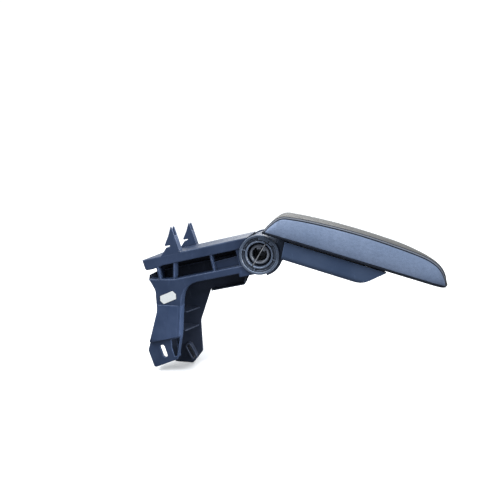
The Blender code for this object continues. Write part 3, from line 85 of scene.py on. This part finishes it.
# Raised panel on the legs, painted paler as painted light: its lower and upper ends, each faded over a short
# height
LEG_PANEL_LOW = (22.0 * MM, 23.5 * MM)
LEG_PANEL_TOP = (81.8 * MM, 82.8 * MM)
LEG_PANEL_PAINTED_LIGHT = 1.35

# Rays that the rounded-edge and painted-shade nodes send out
RAY_SAMPLES = 6

# Pad, in the arm's directions: u forward from the hub axis, w up from it
PAD_HALF = 60.0 * MM
PAD_NOSE_U = 263.0 * MM
PAD_NOSE_RADIUS = 30.0 * MM
NOSE_START_U = PAD_NOSE_U - PAD_NOSE_RADIUS
PAD_REAR_U = -4.6 * MM
PAD_LOW_W = 36.7 * MM
PAD_EDGE = (
    (PAD_REAR_U, 33.4 * MM),
    (3.0 * MM, 49.0 * MM),
    (14.0 * MM, 62.2 * MM),
    (30.0 * MM, 66.8 * MM),
    (70.0 * MM, 70.6 * MM),
    (124.0 * MM, 72.4 * MM),
    (PAD_NOSE_U - 85.0 * MM, 70.4 * MM),
    (PAD_NOSE_U - 52.0 * MM, 67.6 * MM),
    (PAD_NOSE_U - 39.0 * MM, 64.8 * MM),
    (PAD_NOSE_U - 27.0 * MM, 59.6 * MM),
    (PAD_NOSE_U - 15.0 * MM, 50.4 * MM),
    (PAD_NOSE_U - 7.0 * MM, 42.0 * MM),
    (PAD_NOSE_U - 3.0 * MM, 33.4 * MM),
)
PAD_TOP = (
    (PAD_REAR_U, 34.4 * MM),
    (3.0 * MM, 51.4 * MM),
    (11.0 * MM, 62.6 * MM),
    (20.0 * MM, 67.8 * MM),
    (32.0 * MM, 69.4 * MM),
    (70.0 * MM, 72.5 * MM),
    (105.0 * MM, 73.8 * MM),
    (140.0 * MM, 74.3 * MM),
    (PAD_NOSE_U - 85.0 * MM, 73.6 * MM),
    (PAD_NOSE_U - 52.0 * MM, 71.3 * MM),
    (PAD_NOSE_U - 27.0 * MM, 65.2 * MM),
    (PAD_NOSE_U - 12.0 * MM, 54.6 * MM),
    (PAD_NOSE_U - 3.5 * MM, 43.6 * MM),
    (PAD_NOSE_U, 34.4 * MM),
)
SHARP_ANGLE = math.radians(50.0)

# Side skins: depth behind the pad's outline, lift off the base, and least height at their ends
SKIN_BACK = 4.6 * MM
SKIN_LIFT = 0.1 * MM
SKIN_LEAST = 0.8 * MM
SKIN_STEP = 2.0 * MM

# Side panel: tuck at the foot, swell, lean in to the seam and roll at the rim, in mm
PANEL_FOOT = 1.2
PANEL_SWELL = 1.0
PANEL_LEAN = 2.3
PANEL_RIM = 1.6
PANEL_FOOT_MARGIN = 1.9 * MM
PANEL_FULL_HEIGHT = 24.0 * MM
PANEL_SHARES = (
    0.012, 0.035, 0.07, 0.12, 0.19, 0.28, 0.38, 0.48, 0.58, 0.67, 0.75, 0.82, 0.88, 0.93, 0.965, 0.985, 0.997,
)

# Soft diagonal crease in the panel near the hub
CREASE_START = Vector((10.0 * MM, 62.0 * MM))
CREASE_END = Vector((29.0 * MM, 36.0 * MM))
CREASE_DEPTH = 1.3 * MM
CREASE_WIDTH = 2.6 * MM
CREASE_LEAN = 0.05

# Welt: its width, its gap above the panel, and its section as (margin in mm, share of its height)
WELT = 2.8 * MM
WELT_GAP = 0.25 * MM
WELT_SECTION = (
    (4.2, 0.0), (3.0, 0.03), (2.2, 0.16), (1.9, 0.34), (2.0, 0.55),
    (2.3, 0.76), (2.8, 0.92), (3.6, 1.0), (4.3, 0.9),
)

# Seam cords: lift above the seam's line, and each one's margin and radius
SEAM_LIFT = 0.1 * MM
SEAM_STEP = 3.0 * MM
LOW_SEAM = (2.7 * MM, 0.60 * MM)
HIGH_SEAM = (2.8 * MM, 0.50 * MM)

# Top cover: margins and tucks beside the seams and at the free nose, and its lip
COVER_MARGIN = 3.0 * MM
NOSE_MARGIN = 0.3 * MM
COVER_TUCK = 1.6 * MM
NOSE_TUCK = 0.6 * MM
COVER_LIP = 0.9 * MM
LIP_ROLL = 0.3 * MM
COVER_LEAST = 0.6 * MM
CROWN_LEAST = 0.2 * MM
CROWN_POWER = 2.4
CROWN_STEPS = (0.0, 0.25, 0.6, 1.1, 1.8, 2.8, 4.2, 6.0, 8.5, 12.0, 17.0, 24.0, 32.0, 41.0)
SEAM_PAST = 2.0 * MM
SEAM_FADE = 7.0 * MM
COVER_REAR_U = 24.0 * MM
COVER_NOSE_U = PAD_NOSE_U - 40.0 * MM
COVER_FINE_STEP = 1.2 * MM
COVER_STEP = 3.0 * MM

# Notch for the carrier in the cover's rear
NOTCH_HALF = 47.6 * MM
NOTCH_REAR_U = -20.0 * MM
NOTCH_U = 15.5 * MM
NOTCH_W = 51.0 * MM


# Nodes that both the surroundings and the materials use

def map_range(tree, source, low, high, start, end):
    """Maps a value's range from low to high onto start to end."""
    node = tree.nodes.new("ShaderNodeMapRange")
    node.inputs["From Min"].default_value = low
    node.inputs["From Max"].default_value = high
    node.inputs["To Min"].default_value = start
    node.inputs["To Max"].default_value = end
    tree.links.new(source, node.inputs["Value"])
    return node.outputs["Result"]


def eye_or_light(tree, lighting, seen):
    """Shader that the camera sees one way and that lights the part in another."""
    choice = tree.nodes.new("ShaderNodeMixShader")
    tree.links.new(tree.nodes.new("ShaderNodeLightPath").outputs["Is Camera Ray"], choice.inputs["Fac"])
    tree.links.new(lighting, choice.inputs[1])
    tree.links.new(seen, choice.inputs[2])
    return choice.outputs["Shader"]


# Camera, floor and light

def set_view():
    """Camera at the photograph's place, looking slightly down and to the left of square."""
    data = bpy.data.cameras.new("camera")
    data.lens = CAMERA_LENS
    data.sensor_width = CAMERA_SENSOR
    data.clip_start = CAMERA_CLIP
    camera = bpy.data.objects.new("camera", data)
    camera.location = HUB + CAMERA_OFFSET
    camera.rotation_mode = "QUATERNION"
    camera.rotation_quaternion = CAMERA_LOOK.to_track_quat("-Z", "Y")
    bpy.context.scene.collection.objects.link(camera)
    bpy.context.scene.camera = camera


def set_world():
    """Pale sky: white to the eye, brightest overhead and behind the part, and dim below the horizon."""
    world = bpy.data.worlds.new("studio")
    world.use_nodes = True
    tree = world.node_tree
    lit = tree.nodes["Background"]
    lit.inputs["Color"].default_value = SKY_TINT
    seen = tree.nodes.new("ShaderNodeBackground")
    seen.inputs["Color"].default_value = WHITE
    seen.inputs["Strength"].default_value = SKY_SEEN
    split = tree.nodes.new("ShaderNodeSeparateXYZ")
    tree.links.new(tree.nodes.new("ShaderNodeTexCoord").outputs["Generated"], split.inputs["Vector"])
    total = tree.nodes.new("ShaderNodeMath")
    for target, (axis, *span) in zip(total.inputs, SKY_LIGHT):
        tree.links.new(map_range(tree, split.outputs[axis], *span), target)
    tree.links.new(total.outputs["Value"], lit.inputs["Strength"])
    shader = eye_or_light(tree, lit.outputs["Background"], seen.outputs["Background"])
    tree.links.new(shader, tree.nodes["World Output"].inputs["Surface"])
    bpy.context.scene.world = world
    bpy.context.scene.view_settings.view_transform = "Standard"


def floor_paint():
    """Pale to the eye, but throwing back little light, so the undersides stay dark."""
    look = bpy.data.materials.new("floor_paint")
    look.use_nodes = True
    tree = look.node_tree
    tree.nodes.remove(tree.nodes["Principled BSDF"])
    pale, dim = tree.nodes.new("ShaderNodeBsdfDiffuse"), tree.nodes.new("ShaderNodeBsdfDiffuse")
    pale.inputs["Color"].default_value = WHITE
    dim.inputs["Color"].default_value = FLOOR_DIM
    glow = tree.nodes.new("ShaderNodeEmission")
    glow.inputs["Strength"].default_value = FLOOR_GLOW
    bright = tree.nodes.new("ShaderNodeAddShader")
    tree.links.new(pale.outputs["BSDF"], bright.inputs[0])
    tree.links.new(glow.outputs["Emission"], bright.inputs[1])
    shader = eye_or_light(tree, dim.outputs["BSDF"], bright.outputs["Shader"])
    tree.links.new(shader, tree.nodes["Material Output"].inputs["Surface"])
    return look


def set_floor():
    """Plain pale floor just under the part."""
    mesh = bpy.data.meshes.new("floor")
    height = CAD_BOX[0].z - FLOOR_GAP
    signs = ((-1.0, -1.0), (1.0, -1.0), (1.0, 1.0), (-1.0, 1.0))
    mesh.from_pydata([(x * FLOOR_HALF, y * FLOOR_HALF, height) for x, y in signs], [], [(0, 1, 2, 3)])
    mesh.materials.append(floor_paint())
    floor = bpy.data.objects.new("floor", mesh)
    bpy.context.scene.collection.objects.link(floor)


def add_light(name, place, aim, size, power, colour):
    data = bpy.data.lights.new(name, "AREA")
    data.shape = "RECTANGLE"
    data.size, data.size_y = size
    data.energy = power
    data.color = colour
    light = bpy.data.objects.new(name, data)
    light.location = place
    light.rotation_mode = "QUATERNION"
    light.rotation_quaternion = (Vector(aim) - Vector(place)).to_track_quat("-Z", "Y")
    bpy.context.scene.collection.objects.link(light)
    return light


def set_lights():
    """A large soft light above and in front, a weak one behind, and one from the right.

    The one from the right falls only on the carrier, its hub rings and pin, and the pivot tube.
    """
    lights = {values[0]: add_light(*values) for values in LIGHTS}
    lit = bpy.data.collections.new("lit_from_the_right")
    for name, node in NODES.items():
        if name.startswith(LIT_FROM_RIGHT):
            lit.objects.link(node)
    lights["right"].light_linking.receiver_collection = lit


# Materials

class Look:
    """A material's nodes, added one by one and wired as they are added."""

    def __init__(self, name, roughness, metallic=0.0, specular=0.5):
        self.material = bpy.data.materials.new(name)
        self.material.use_nodes = True
        self.tree = self.material.node_tree
        self.shader = self.tree.nodes["Principled BSDF"]
        self.shader.inputs["Roughness"].default_value = roughness
        self.shader.inputs["Metallic"].default_value = metallic
        self.shader.inputs["Specular IOR Level"].default_value = specular
        self.place = self.add("TexCoord").outputs["Object"]

    def add(self, kind):
        return self.tree.nodes.new("ShaderNode" + kind)

    def wire(self, source, target):
        self.tree.links.new(source, target)

    def noise(self, scale, detail, rough=0.55, stretch=None):
        node = self.add("TexNoise")
        node.inputs["Scale"].default_value = scale
        node.inputs["Detail"].default_value = detail
        node.inputs["Roughness"].default_value = rough
        self.wire(self.stretched(stretch) if stretch else self.place, node.inputs["Vector"])
        return node.outputs["Fac"]

    def stretched(self, stretch):
        node = self.add("Mapping")
        node.inputs["Scale"].default_value = stretch
        self.wire(self.place, node.inputs["Vector"])
        return node.outputs["Vector"]

    def cells(self, scale):
        """Distance to the nearest border between irregular cells."""
        node = self.add("TexVoronoi")
        node.feature = "DISTANCE_TO_EDGE"
        node.inputs["Scale"].default_value = scale
        self.wire(self.place, node.inputs["Vector"])
        return node.outputs["Distance"]

    def ramp(self, source, low, high, start, end):
        return map_range(self.tree, source, low, high, start, end)

    def mix(self, share, first, second):
        """Colour between two, each a colour or a socket."""
        node = self.add("Mix")
        node.data_type = "RGBA"
        inputs = [s for s in node.inputs if s.type == "RGBA"]
        for socket, value in zip(inputs, (first, second)):
            if isinstance(value, tuple):
                socket.default_value = (*value, 1.0)
            else:
                self.wire(value, socket)
        self.wire(share, node.inputs["Factor"])
        return next(s for s in node.outputs if s.type == "RGBA")

    def multiply(self, first, second):
        node = self.add("Math")
        node.operation = "MULTIPLY"
        self.wire(first, node.inputs[0])
        self.wire(second, node.inputs[1])
        return node.outputs["Value"]

    def darkened(self, source, share):
        """Colour multiplied by a share, a number or a socket."""
        node = self.add("VectorMath")
        node.operation = "SCALE"
        self.wire(source, node.inputs[0])
        if isinstance(share, float):
            node.inputs["Scale"].default_value = share
        else:
            self.wire(share, node.inputs["Scale"])
        return node.outputs["Vector"]

    def rounded(self, radius):
        """Normal of the surface with its edges rounded by a radius."""
        node = self.add("Bevel")
        node.samples = RAY_SAMPLES
        node.inputs["Radius"].default_value = radius
        return node.outputs["Normal"]

    def edge_mask(self, radius):
        """1 along sharp edges and 0 on open faces, from the difference that rounding makes to the normal."""
        dot = self.add("VectorMath")
        dot.operation = "DOT_PRODUCT"
        self.wire(self.rounded(radius), dot.inputs[0])
        self.wire(self.add("NewGeometry").outputs["Normal"], dot.inputs[1])
        return self.ramp(dot.outputs["Value"], 0.998, 0.90, 0.0, 1.0)

    def painted_corner_shade(self, distance, start):
        """Painted shade: 1 on open faces, falling to the start value in corners and grooves."""
        node = self.add("AmbientOcclusion")
        node.samples = RAY_SAMPLES
        node.inputs["Distance"].default_value = distance
        return self.ramp(node.outputs["AO"], 0.35, 0.92, start, 1.0)

    def bump(self, height, distance, strength, radius=None):
        """Bump from a height, on top of edges rounded by a radius where one is given."""
        node = self.add("Bump")
        node.inputs["Distance"].default_value = distance
        node.inputs["Strength"].default_value = strength
        self.wire(height, node.inputs["Height"])
        if radius:
            self.wire(self.rounded(radius), node.inputs["Normal"])
        self.wire(node.outputs["Normal"], self.shader.inputs["Normal"])

    def colour(self, source):
        self.wire(source, self.shader.inputs["Base Color"])

    def roughness(self, source):
        self.wire(source, self.shader.inputs["Roughness"])


def times(colour, share):
    return tuple(share * channel for channel in colour)


def add_leg_painted_light(look, body):
    """Painted light: the raised panel on each leg is painted a step paler than the plastic above it and the
    foot below.
    """
    split = look.add("SeparateXYZ")
    look.wire(look.place, split.inputs["Vector"])
    above_foot = look.ramp(split.outputs["Z"], *LEG_PANEL_LOW, 0.0, 1.0)
    below_top = look.ramp(split.outputs["Z"], *LEG_PANEL_TOP, 1.0, 0.0)
    return look.mix(look.multiply(above_foot, below_top), body, look.darkened(body, LEG_PANEL_PAINTED_LIGHT))


def moulded(name, base, light, roughness, specular=0.3, radius=1.2, groove=4.0, dark=0.4, rim=2.6, leg=False):
    """Moulded plastic: soft mottling, fine grain, paler edges that are partly rubbed wear and partly a
    painted highlight, and painted shade in corners.

    The radius of the paler edges and the reach of the painted shade in grooves are in mm. In the grooves the
    colour falls to the share called dark, and rim says how much paler the edges are. leg adds the legs'
    panel, painted paler as painted light.
    """
    look = Look(name, roughness, specular=specular)
    body = look.mix(look.ramp(look.noise(22.0, 4.0), 0.35, 0.70, 0.0, 1.0), base, light)
    if leg:
        body = add_leg_painted_light(look, body)
    scuffs = look.ramp(look.noise(160.0, 5.0, 0.7, (1.0, 1.0, 0.25)), 0.60, 0.78, 0.0, 0.35)
    pale = tuple(min(1.0, rim * channel + 0.02) for channel in light)
    body = look.mix(scuffs, body, pale)
    # Edges paled partly as rubbed wear and partly as a painted highlight
    worn_and_highlit_edges = look.multiply(look.edge_mask(radius * MM), look.ramp(look.noise(70.0, 3.0), 0.3, 0.7, 0.2, 1.0))
    # Colour darkened by painted shade in corners and grooves
    look.colour(look.darkened(look.mix(worn_and_highlit_edges, body, pale), look.painted_corner_shade(groove * MM, dark)))
    look.roughness(look.ramp(look.noise(90.0, 4.0), 0.3, 0.7, roughness - 0.08, roughness + 0.10))
    look.bump(look.noise(1800.0, 2.0), 0.05 * MM, 0.7, radius * MM)
    return look.material


def steel(name, colour, roughness):
    """Drawn steel wire and pressed steel: fine streaks along, faint stains."""
    look = Look(name, roughness, metallic=1.0)
    along = (1.0, 0.1, 1.0)
    stain = look.ramp(look.noise(120.0, 4.0), 0.45, 0.75, 0.0, 0.6)
    look.colour(look.mix(stain, colour, times(colour, 0.55)))
    look.roughness(look.ramp(look.noise(400.0, 3.0, 0.6, along), 0.3, 0.7, roughness, roughness + 0.2))
    look.bump(look.noise(1500.0, 2.0, 0.6, along), 0.01 * MM, 0.6)
    return look.material


def paper(name):
    """Blank paper with faint fibres and slightly soiled patches."""
    look = Look(name, 0.65, specular=0.2)
    soiled = look.ramp(look.noise(180.0, 5.0, 0.7), 0.45, 0.75, 0.0, 0.5)
    look.colour(look.mix(soiled, (0.90, 0.93, 0.92), (0.74, 0.78, 0.78)))
    look.bump(look.noise(2600.0, 3.0, 0.7), 0.02 * MM, 0.6)
    return look.material


def thread(name, base):
    """Twisted dark thread, matt, with fine turns."""
    look = Look(name, 0.75, specular=0.15)
    turns = look.ramp(look.noise(1600.0, 2.0), 0.35, 0.65, 0.0, 1.0)
    look.colour(look.mix(turns, base, times(base, 1.8)))
    look.bump(turns, 0.05 * MM, 0.8)
    return look.material


def skin(name, base, light, roughness, grain, depth, specular):
    """Grained synthetic leather: pebbles with fine creases between, with painted shade in the creases; their
    size and depth are in mm.
    """
    look = Look(name, roughness, specular=specular)
    size = grain * MM
    broad = look.ramp(look.noise(14.0, 3.0), 0.35, 0.68, 0.0, 1.0)
    spots = look.ramp(look.noise(0.3 / size, 3.0, 0.6), 0.35, 0.65, 0.0, 0.22)
    body = look.mix(spots, look.mix(broad, base, light), times(base, 0.5))
    pebbles = look.cells(1.0 / size)
    # Painted shade: the colour darkens in the fine creases between the pebbles
    crease = look.ramp(pebbles, 0.0, 0.12, 0.55, 0.0)
    look.colour(look.mix(crease, body, times(base, 0.55)))
    look.roughness(look.ramp(look.noise(60.0, 4.0), 0.3, 0.7, roughness - 0.06, roughness + 0.10))
    domes = look.ramp(pebbles, 0.0, 0.25, 0.5, 1.0)
    lumps = look.ramp(look.noise(0.35 / size, 3.0, 0.6), 0.3, 0.7, 0.0, 1.0)
    look.bump(look.multiply(domes, lumps), depth * MM, 0.9)
    return look.material


def coat(material, *stems):
    """Gives a material to the CAD nodes whose names start with a stem; a later coat covers an earlier one."""
    for name, node in NODES.items():
        if name.startswith(stems):
            for slot in node.material_slots:
                slot.material = material


def dress_nodes():
    """Materials of all the pieces that keep their CAD shape."""
    carrier = moulded("carrier_plastic", (0.020, 0.034, 0.072), (0.034, 0.052, 0.102), 0.40, 0.25, leg=True)
    # Spine plastic darker than the carrier's: painted shade for the shadow under the rails
    spine = moulded("spine_plastic", (0.013, 0.019, 0.036), (0.024, 0.032, 0.054), 0.5, 0.2, dark=0.5)
    # rim paints bright highlights on the ring's crests and dark paints deep shade in its grooves
    hub = moulded(
        "hub_plastic", (0.048, 0.066, 0.100), (0.080, 0.102, 0.145), 0.34, 0.3,
        radius=0.8, groove=3.0, dark=0.03, rim=4.5,
    )
    # rim paints highlights on the sleeve's rims and dark paints deep shade in its bore and grooves
    sleeve = moulded(
        "sleeve_plastic", (0.120, 0.138, 0.175), (0.200, 0.220, 0.260), 0.33, 0.45,
        radius=0.7, groove=3.0, dark=0.05, rim=3.0,
    )
    bearing = moulded("bearing_plastic", (0.50, 0.50, 0.47), (0.60, 0.60, 0.56), 0.4)
    arm = moulded("arm_plastic", (0.038, 0.056, 0.094), (0.085, 0.108, 0.158), 0.5, 0.2)
    # The wide edge radius paints a highlight along the shell's top lip
    shell = moulded(
        "under_shell_plastic", (0.054, 0.088, 0.168), (0.080, 0.120, 0.210), 0.42, 0.25,
        radius=1.6,
    )
    # Near-black base plastic; its rim below the side panels is partly the base's own black and partly painted
    # shade
    base = moulded("base_plastic", (0.010, 0.014, 0.024), (0.018, 0.023, 0.036), 0.55, 0.15)
    coat(carrier, "carrier_near_shell", "carrier_far_shell")
    coat(spine, "carrier_spine")
    coat(hub, "hub_ring")
    coat(sleeve, "pivot_tube")
    coat(bearing, "bearing_bush", "thrust_washer", "slider_shoe")
    coat(arm, "arm_core")
    coat(shell, "under_shell")
    coat(base, "pad_base", "pad_core_board")
    coat(steel("oiled_steel", (0.070, 0.072, 0.078), 0.5), "torsion_spring")
    bright_steel = steel("bright_steel", (0.50, 0.51, 0.54), 0.28)
    coat(bright_steel, "cross_pin", "slide_rail", "under_shell_screw", "pad_screw")
    coat(steel("bolt_steel", (0.30, 0.30, 0.31), 0.4), "through_bolt")
    coat(paper("label_paper"), "blank_label")


# Pad in its skins

def arm_point(u, y, w):
    """Place in the world of a point given in the arm's directions."""
    cos, sin = math.cos(ARM_SLOPE), math.sin(ARM_SLOPE)
    return HUB + Vector((u * cos + w * sin, y, w * cos - u * sin))


def smooth_height(points, place):
    """Height of the smooth curve through the points (rising along) at one place."""
    if place <= points[0][0]:
        return points[0][1]
    if place >= points[-1][0]:
        return points[-1][1]
    index = max(i for i in range(len(points) - 1) if points[i][0] <= place)
    x0, z0 = points[index]
    x1, z1 = points[index + 1]
    slopes = []
    for i in (index, index + 1):
        low, high = max(i - 1, 0), min(i + 1, len(points) - 1)
        slopes.append((points[high][1] - points[low][1]) / (points[high][0] - points[low][0]))
    run = x1 - x0
    t = (place - x0) / run
    start = (1.0 + 2.0 * t) * (1.0 - t) ** 2 * z0 + t * (1.0 - t) ** 2 * run * slopes[0]
    end = t * t * (3.0 - 2.0 * t) * z1 + t * t * (t - 1.0) * run * slopes[1]
    return start + end


def plan_point(t, margin):
    """Place on the pad's plan outline: straight, then round the nose's corner."""
    if t <= NOSE_START_U:
        return t, PAD_HALF - margin
    angle = min((t - NOSE_START_U) / PAD_NOSE_RADIUS, 0.5 * math.pi)
    radius = PAD_NOSE_RADIUS - margin
    return NOSE_START_U + radius * math.sin(angle), PAD_HALF - PAD_NOSE_RADIUS + radius * math.cos(angle)


def edge_height(t):
    return smooth_height(PAD_EDGE, t)


def panel_height(t):
    """Upper edge of the side panel, below the edge line by the welt's width."""
    step = 1.0 * MM
    slope = (edge_height(t + step) - edge_height(t - step)) / (2.0 * step)
    return edge_height(t) - WELT * math.hypot(1.0, slope)


def crossing(height_of, start, end, level):
    """Place between two places at which a height passes one level."""
    low, high = start, end
    for _ in range(40):
        middle = 0.5 * (low + high)
        if (height_of(middle) - level) * (height_of(low) - level) > 0.0:
            low = middle
        else:
            high = middle
    return 0.5 * (low + high)


def ends_of(height_of):
    """Two places between which a side skin's upper edge stays high enough above the pad's underside."""
    level, middle = PAD_LOW_W + SKIN_LEAST, 0.5 * PAD_NOSE_U
    return crossing(height_of, PAD_REAR_U, middle, level), crossing(height_of, middle, PAD_EDGE[-1][0], level)


def places(start, end, step):
    """Evenly spaced places from start to end, about a step apart."""
    count = max(2, round((end - start) / step))
    return [start + (end - start) * index / count for index in range(count + 1)]


def solid(name, sections):
    """Closed mesh through a row of closed sections."""
    bm = bmesh.new()
    loops = [[bm.verts.new(point) for point in section] for section in sections]
    count = len(sections[0])
    for near, far in zip(loops, loops[1:]):
        for i in range(count):
            j = (i + 1) % count
            bm.faces.new((near[i], near[j], far[j], far[i]))
    bm.faces.new(loops[0])
    bm.faces.new(loops[-1])
    bmesh.ops.recalc_face_normals(bm, faces=bm.faces)
    mesh = bpy.data.meshes.new(name)
    bm.to_mesh(mesh)
    bm.free()
    piece = bpy.data.objects.new(name, mesh)
    bpy.context.scene.collection.objects.link(piece)
    return piece


def smooth_shade(piece):
    piece.data.shade_smooth()
    piece.data.set_sharp_from_angle(angle=SHARP_ANGLE)


def side_strip(name, side, ends, profile):
    """Skin along one side of the pad; the profile gives (margin, height) points at each place."""
    sections = []
    for t in places(*ends, SKIN_STEP):
        section = []
        for margin, w in profile(t):
            u, y = plan_point(t, margin)
            section.append(arm_point(u, side * y, w))
        sections.append(section)
    piece = solid(name, sections)
    smooth_shade(piece)
    return piece


def hub_crease(t, w):
    """How far the panel is drawn in by the soft diagonal crease near the hub."""
    along = (CREASE_END - CREASE_START).normalized()
    offset = Vector((t, w)) - CREASE_START
    across = offset.x * along.y - offset.y * along.x
    fold = CREASE_DEPTH * math.exp(-((across / CREASE_WIDTH) ** 2))
    return fold + CREASE_LEAN * max(0.0, across)


def panel_profile(t):
    """Side panel's section: rolled edges, a full lower half and an upper half that leans in to the seam."""
    low, high = PAD_LOW_W + SKIN_LIFT, panel_height(t)
    height = high - low
    full = PANEL_SWELL * min(1.0, height / PANEL_FULL_HEIGHT)
    points = [(SKIN_BACK, low), (PANEL_FOOT_MARGIN, low)]
    for share in PANEL_SHARES:
        foot = PANEL_FOOT * (1.0 - share) ** 5
        swell = full * math.sin(math.pi * share ** 0.8)
        lean = PANEL_LEAN * share ** 2.6
        rim = PANEL_RIM * max(0.0, (share - 0.95) / 0.05) ** 2
        crease = hub_crease(t, low + share * height) * math.sin(math.pi * share) ** 0.5
        points.append(((foot - swell + lean + rim) * MM + crease, low + share * height))
    points += [(SKIN_BACK, high), (SKIN_BACK, low + 0.4 * height)]
    return points


def welt_profile(t):
    """Narrow band between the two seams, rolled along both edges."""
    low, high = max(panel_height(t) + WELT_GAP, PAD_LOW_W + SKIN_LIFT), edge_height(t)
    return [(margin * MM, low + share * (high - low)) for margin, share in WELT_SECTION]


def seam_cord(name, side, ends, height_of, margin, radius):
    """Sunk line of a seam: a thin cord that follows the pad's edge."""
    data = bpy.data.curves.new(name, "CURVE")
    data.dimensions = "3D"
    data.bevel_depth = radius
    data.bevel_resolution = 2
    data.use_fill_caps = True
    spline = data.splines.new("POLY")
    stations = places(*ends, SEAM_STEP)
    spline.points.add(len(stations) - 1)
    for point, t in zip(spline.points, stations):
        u, y = plan_point(t, margin)
        point.co = (*arm_point(u, side * y, height_of(t) + SEAM_LIFT), 1.0)
    piece = bpy.data.objects.new(name, data)
    bpy.context.scene.collection.objects.link(piece)
    return piece


def cover_half(u, margin):
    """Half width of the pad at one place along it, less a margin."""
    run = u - NOSE_START_U
    if run <= 0.0:
        return PAD_HALF - margin
    radius = PAD_NOSE_RADIUS - min(margin, 0.8 * (PAD_NOSE_RADIUS - run))
    return PAD_HALF - PAD_NOSE_RADIUS + math.sqrt(max(radius * radius - run * run, 0.0))


def cover_section(u, welt_end):
    """Cross-section of the top cover: lips at the seams, a soft roll and a crowned top."""
    t = u
    if u > NOSE_START_U:
        t = NOSE_START_U + PAD_NOSE_RADIUS * math.asin(min(1.0, (u - NOSE_START_U) / PAD_NOSE_RADIUS))
    seamed = min(1.0, max(0.0, (welt_end + SEAM_PAST - t) / SEAM_FADE))
    seamed = seamed * seamed * (3.0 - 2.0 * seamed)
    half = cover_half(u, NOSE_MARGIN + (COVER_MARGIN - NOSE_MARGIN) * seamed)
    edge = max(edge_height(t), PAD_LOW_W + COVER_LEAST)
    top = max(smooth_height(PAD_TOP, u), edge + CROWN_LEAST)
    lip = min(COVER_LIP, edge - PAD_LOW_W)
    side = [
        (half - COVER_TUCK, PAD_LOW_W),
        (half - COVER_TUCK * seamed - NOSE_TUCK * (1.0 - seamed), edge - lip),
        (half - LIP_ROLL, edge - 0.45 * lip),
    ]
    for inward in CROWN_STEPS:
        share = min(1.0, inward * MM / half)
        rise = math.sqrt(1.0 - (1.0 - share) ** CROWN_POWER)
        side.append((half * (1.0 - share), edge + (top - edge) * rise))
    ring = side + [(0.0, top)] + [(-y, w) for y, w in reversed(side)]
    return [arm_point(u, y, w) for y, w in ring]


def build_notch():
    """Block that cuts the carrier's notch out of the cover's rear."""
    block = ((-NOTCH_HALF, 0.0), (NOTCH_HALF, 0.0), (NOTCH_HALF, NOTCH_W), (-NOTCH_HALF, NOTCH_W))
    return solid("notch", [[arm_point(u, y, w) for y, w in block] for u in (NOTCH_REAR_U, NOTCH_U)])


def build_cover(welt_end):
    """Foam and smooth top cover in one crowned, closed form, with the carrier's notch at its rear."""
    start = crossing(edge_height, PAD_REAR_U, 0.5 * PAD_NOSE_U, PAD_LOW_W + COVER_LEAST)
    stations = places(start, COVER_REAR_U, COVER_FINE_STEP)[:-1]
    stations += places(COVER_REAR_U, COVER_NOSE_U, COVER_STEP)[:-1]
    stations += places(COVER_NOSE_U, PAD_NOSE_U - 3.0 * MM, COVER_FINE_STEP)
    stations += [PAD_NOSE_U - left * MM for left in (2.0, 1.2, 0.6)]
    cover = solid("pad_cover", [cover_section(u, welt_end) for u in stations])
    notch = build_notch()
    cutter = cover.modifiers.new("notch", "BOOLEAN")
    cutter.operation = "DIFFERENCE"
    cutter.solver = "EXACT"
    cutter.object = notch
    graph = bpy.context.evaluated_depsgraph_get()
    cover.data = bpy.data.meshes.new_from_object(cover.evaluated_get(graph))
    cover.modifiers.clear()
    bpy.data.objects.remove(notch)
    smooth_shade(cover)
    return cover


def wear(piece, material, node=None):
    """Gives a pad piece its material and slot, hangs it on the pad and lets it stand for a node."""
    piece.data.materials.clear()
    piece.data.materials.append(material)
    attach(piece, "pad")
    if node:
        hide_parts(node)


def add_pad():
    """The pad's skins, seams and cover, each in place of its plain solid."""
    panel_ends, welt_ends = ends_of(panel_height), ends_of(edge_height)
    top_skin = skin("pad_skin", (0.122, 0.120, 0.116), (0.152, 0.149, 0.143), 0.66, 0.55, 0.05, 0.12)
    side_skin = skin("panel_skin", (0.232, 0.308, 0.468), (0.300, 0.382, 0.556), 0.5, 1.1, 0.30, 0.3)
    welt_skin = skin("welt_skin", (0.25, 0.275, 0.33), (0.30, 0.325, 0.38), 0.55, 0.55, 0.05, 0.25)
    dark_thread = thread("dark_thread", (0.018, 0.024, 0.036))
    pale_thread = thread("pale_thread", (0.040, 0.045, 0.056))

    cover = build_cover(welt_ends[1])
    wear(cover, top_skin, "pad_cushion")
    for place, side in (("near", -1.0), ("far", 1.0)):
        panel = side_strip(f"panel_skin_{place}", side, panel_ends, panel_profile)
        wear(panel, side_skin, f"side_panel_{place}")
        band = side_strip(f"welt_band_{place}", side, welt_ends, welt_profile)
        wear(band, welt_skin, f"welt_{place}")
        low_seam = seam_cord(f"low_seam_{place}", side, panel_ends, panel_height, *LOW_SEAM)
        wear(low_seam, dark_thread)
        high_seam = seam_cord(f"high_seam_{place}", side, welt_ends, edge_height, *HIGH_SEAM)
        wear(high_seam, pale_thread)


set_view()
set_world()
set_floor()
set_lights()
dress_nodes()
add_pad()
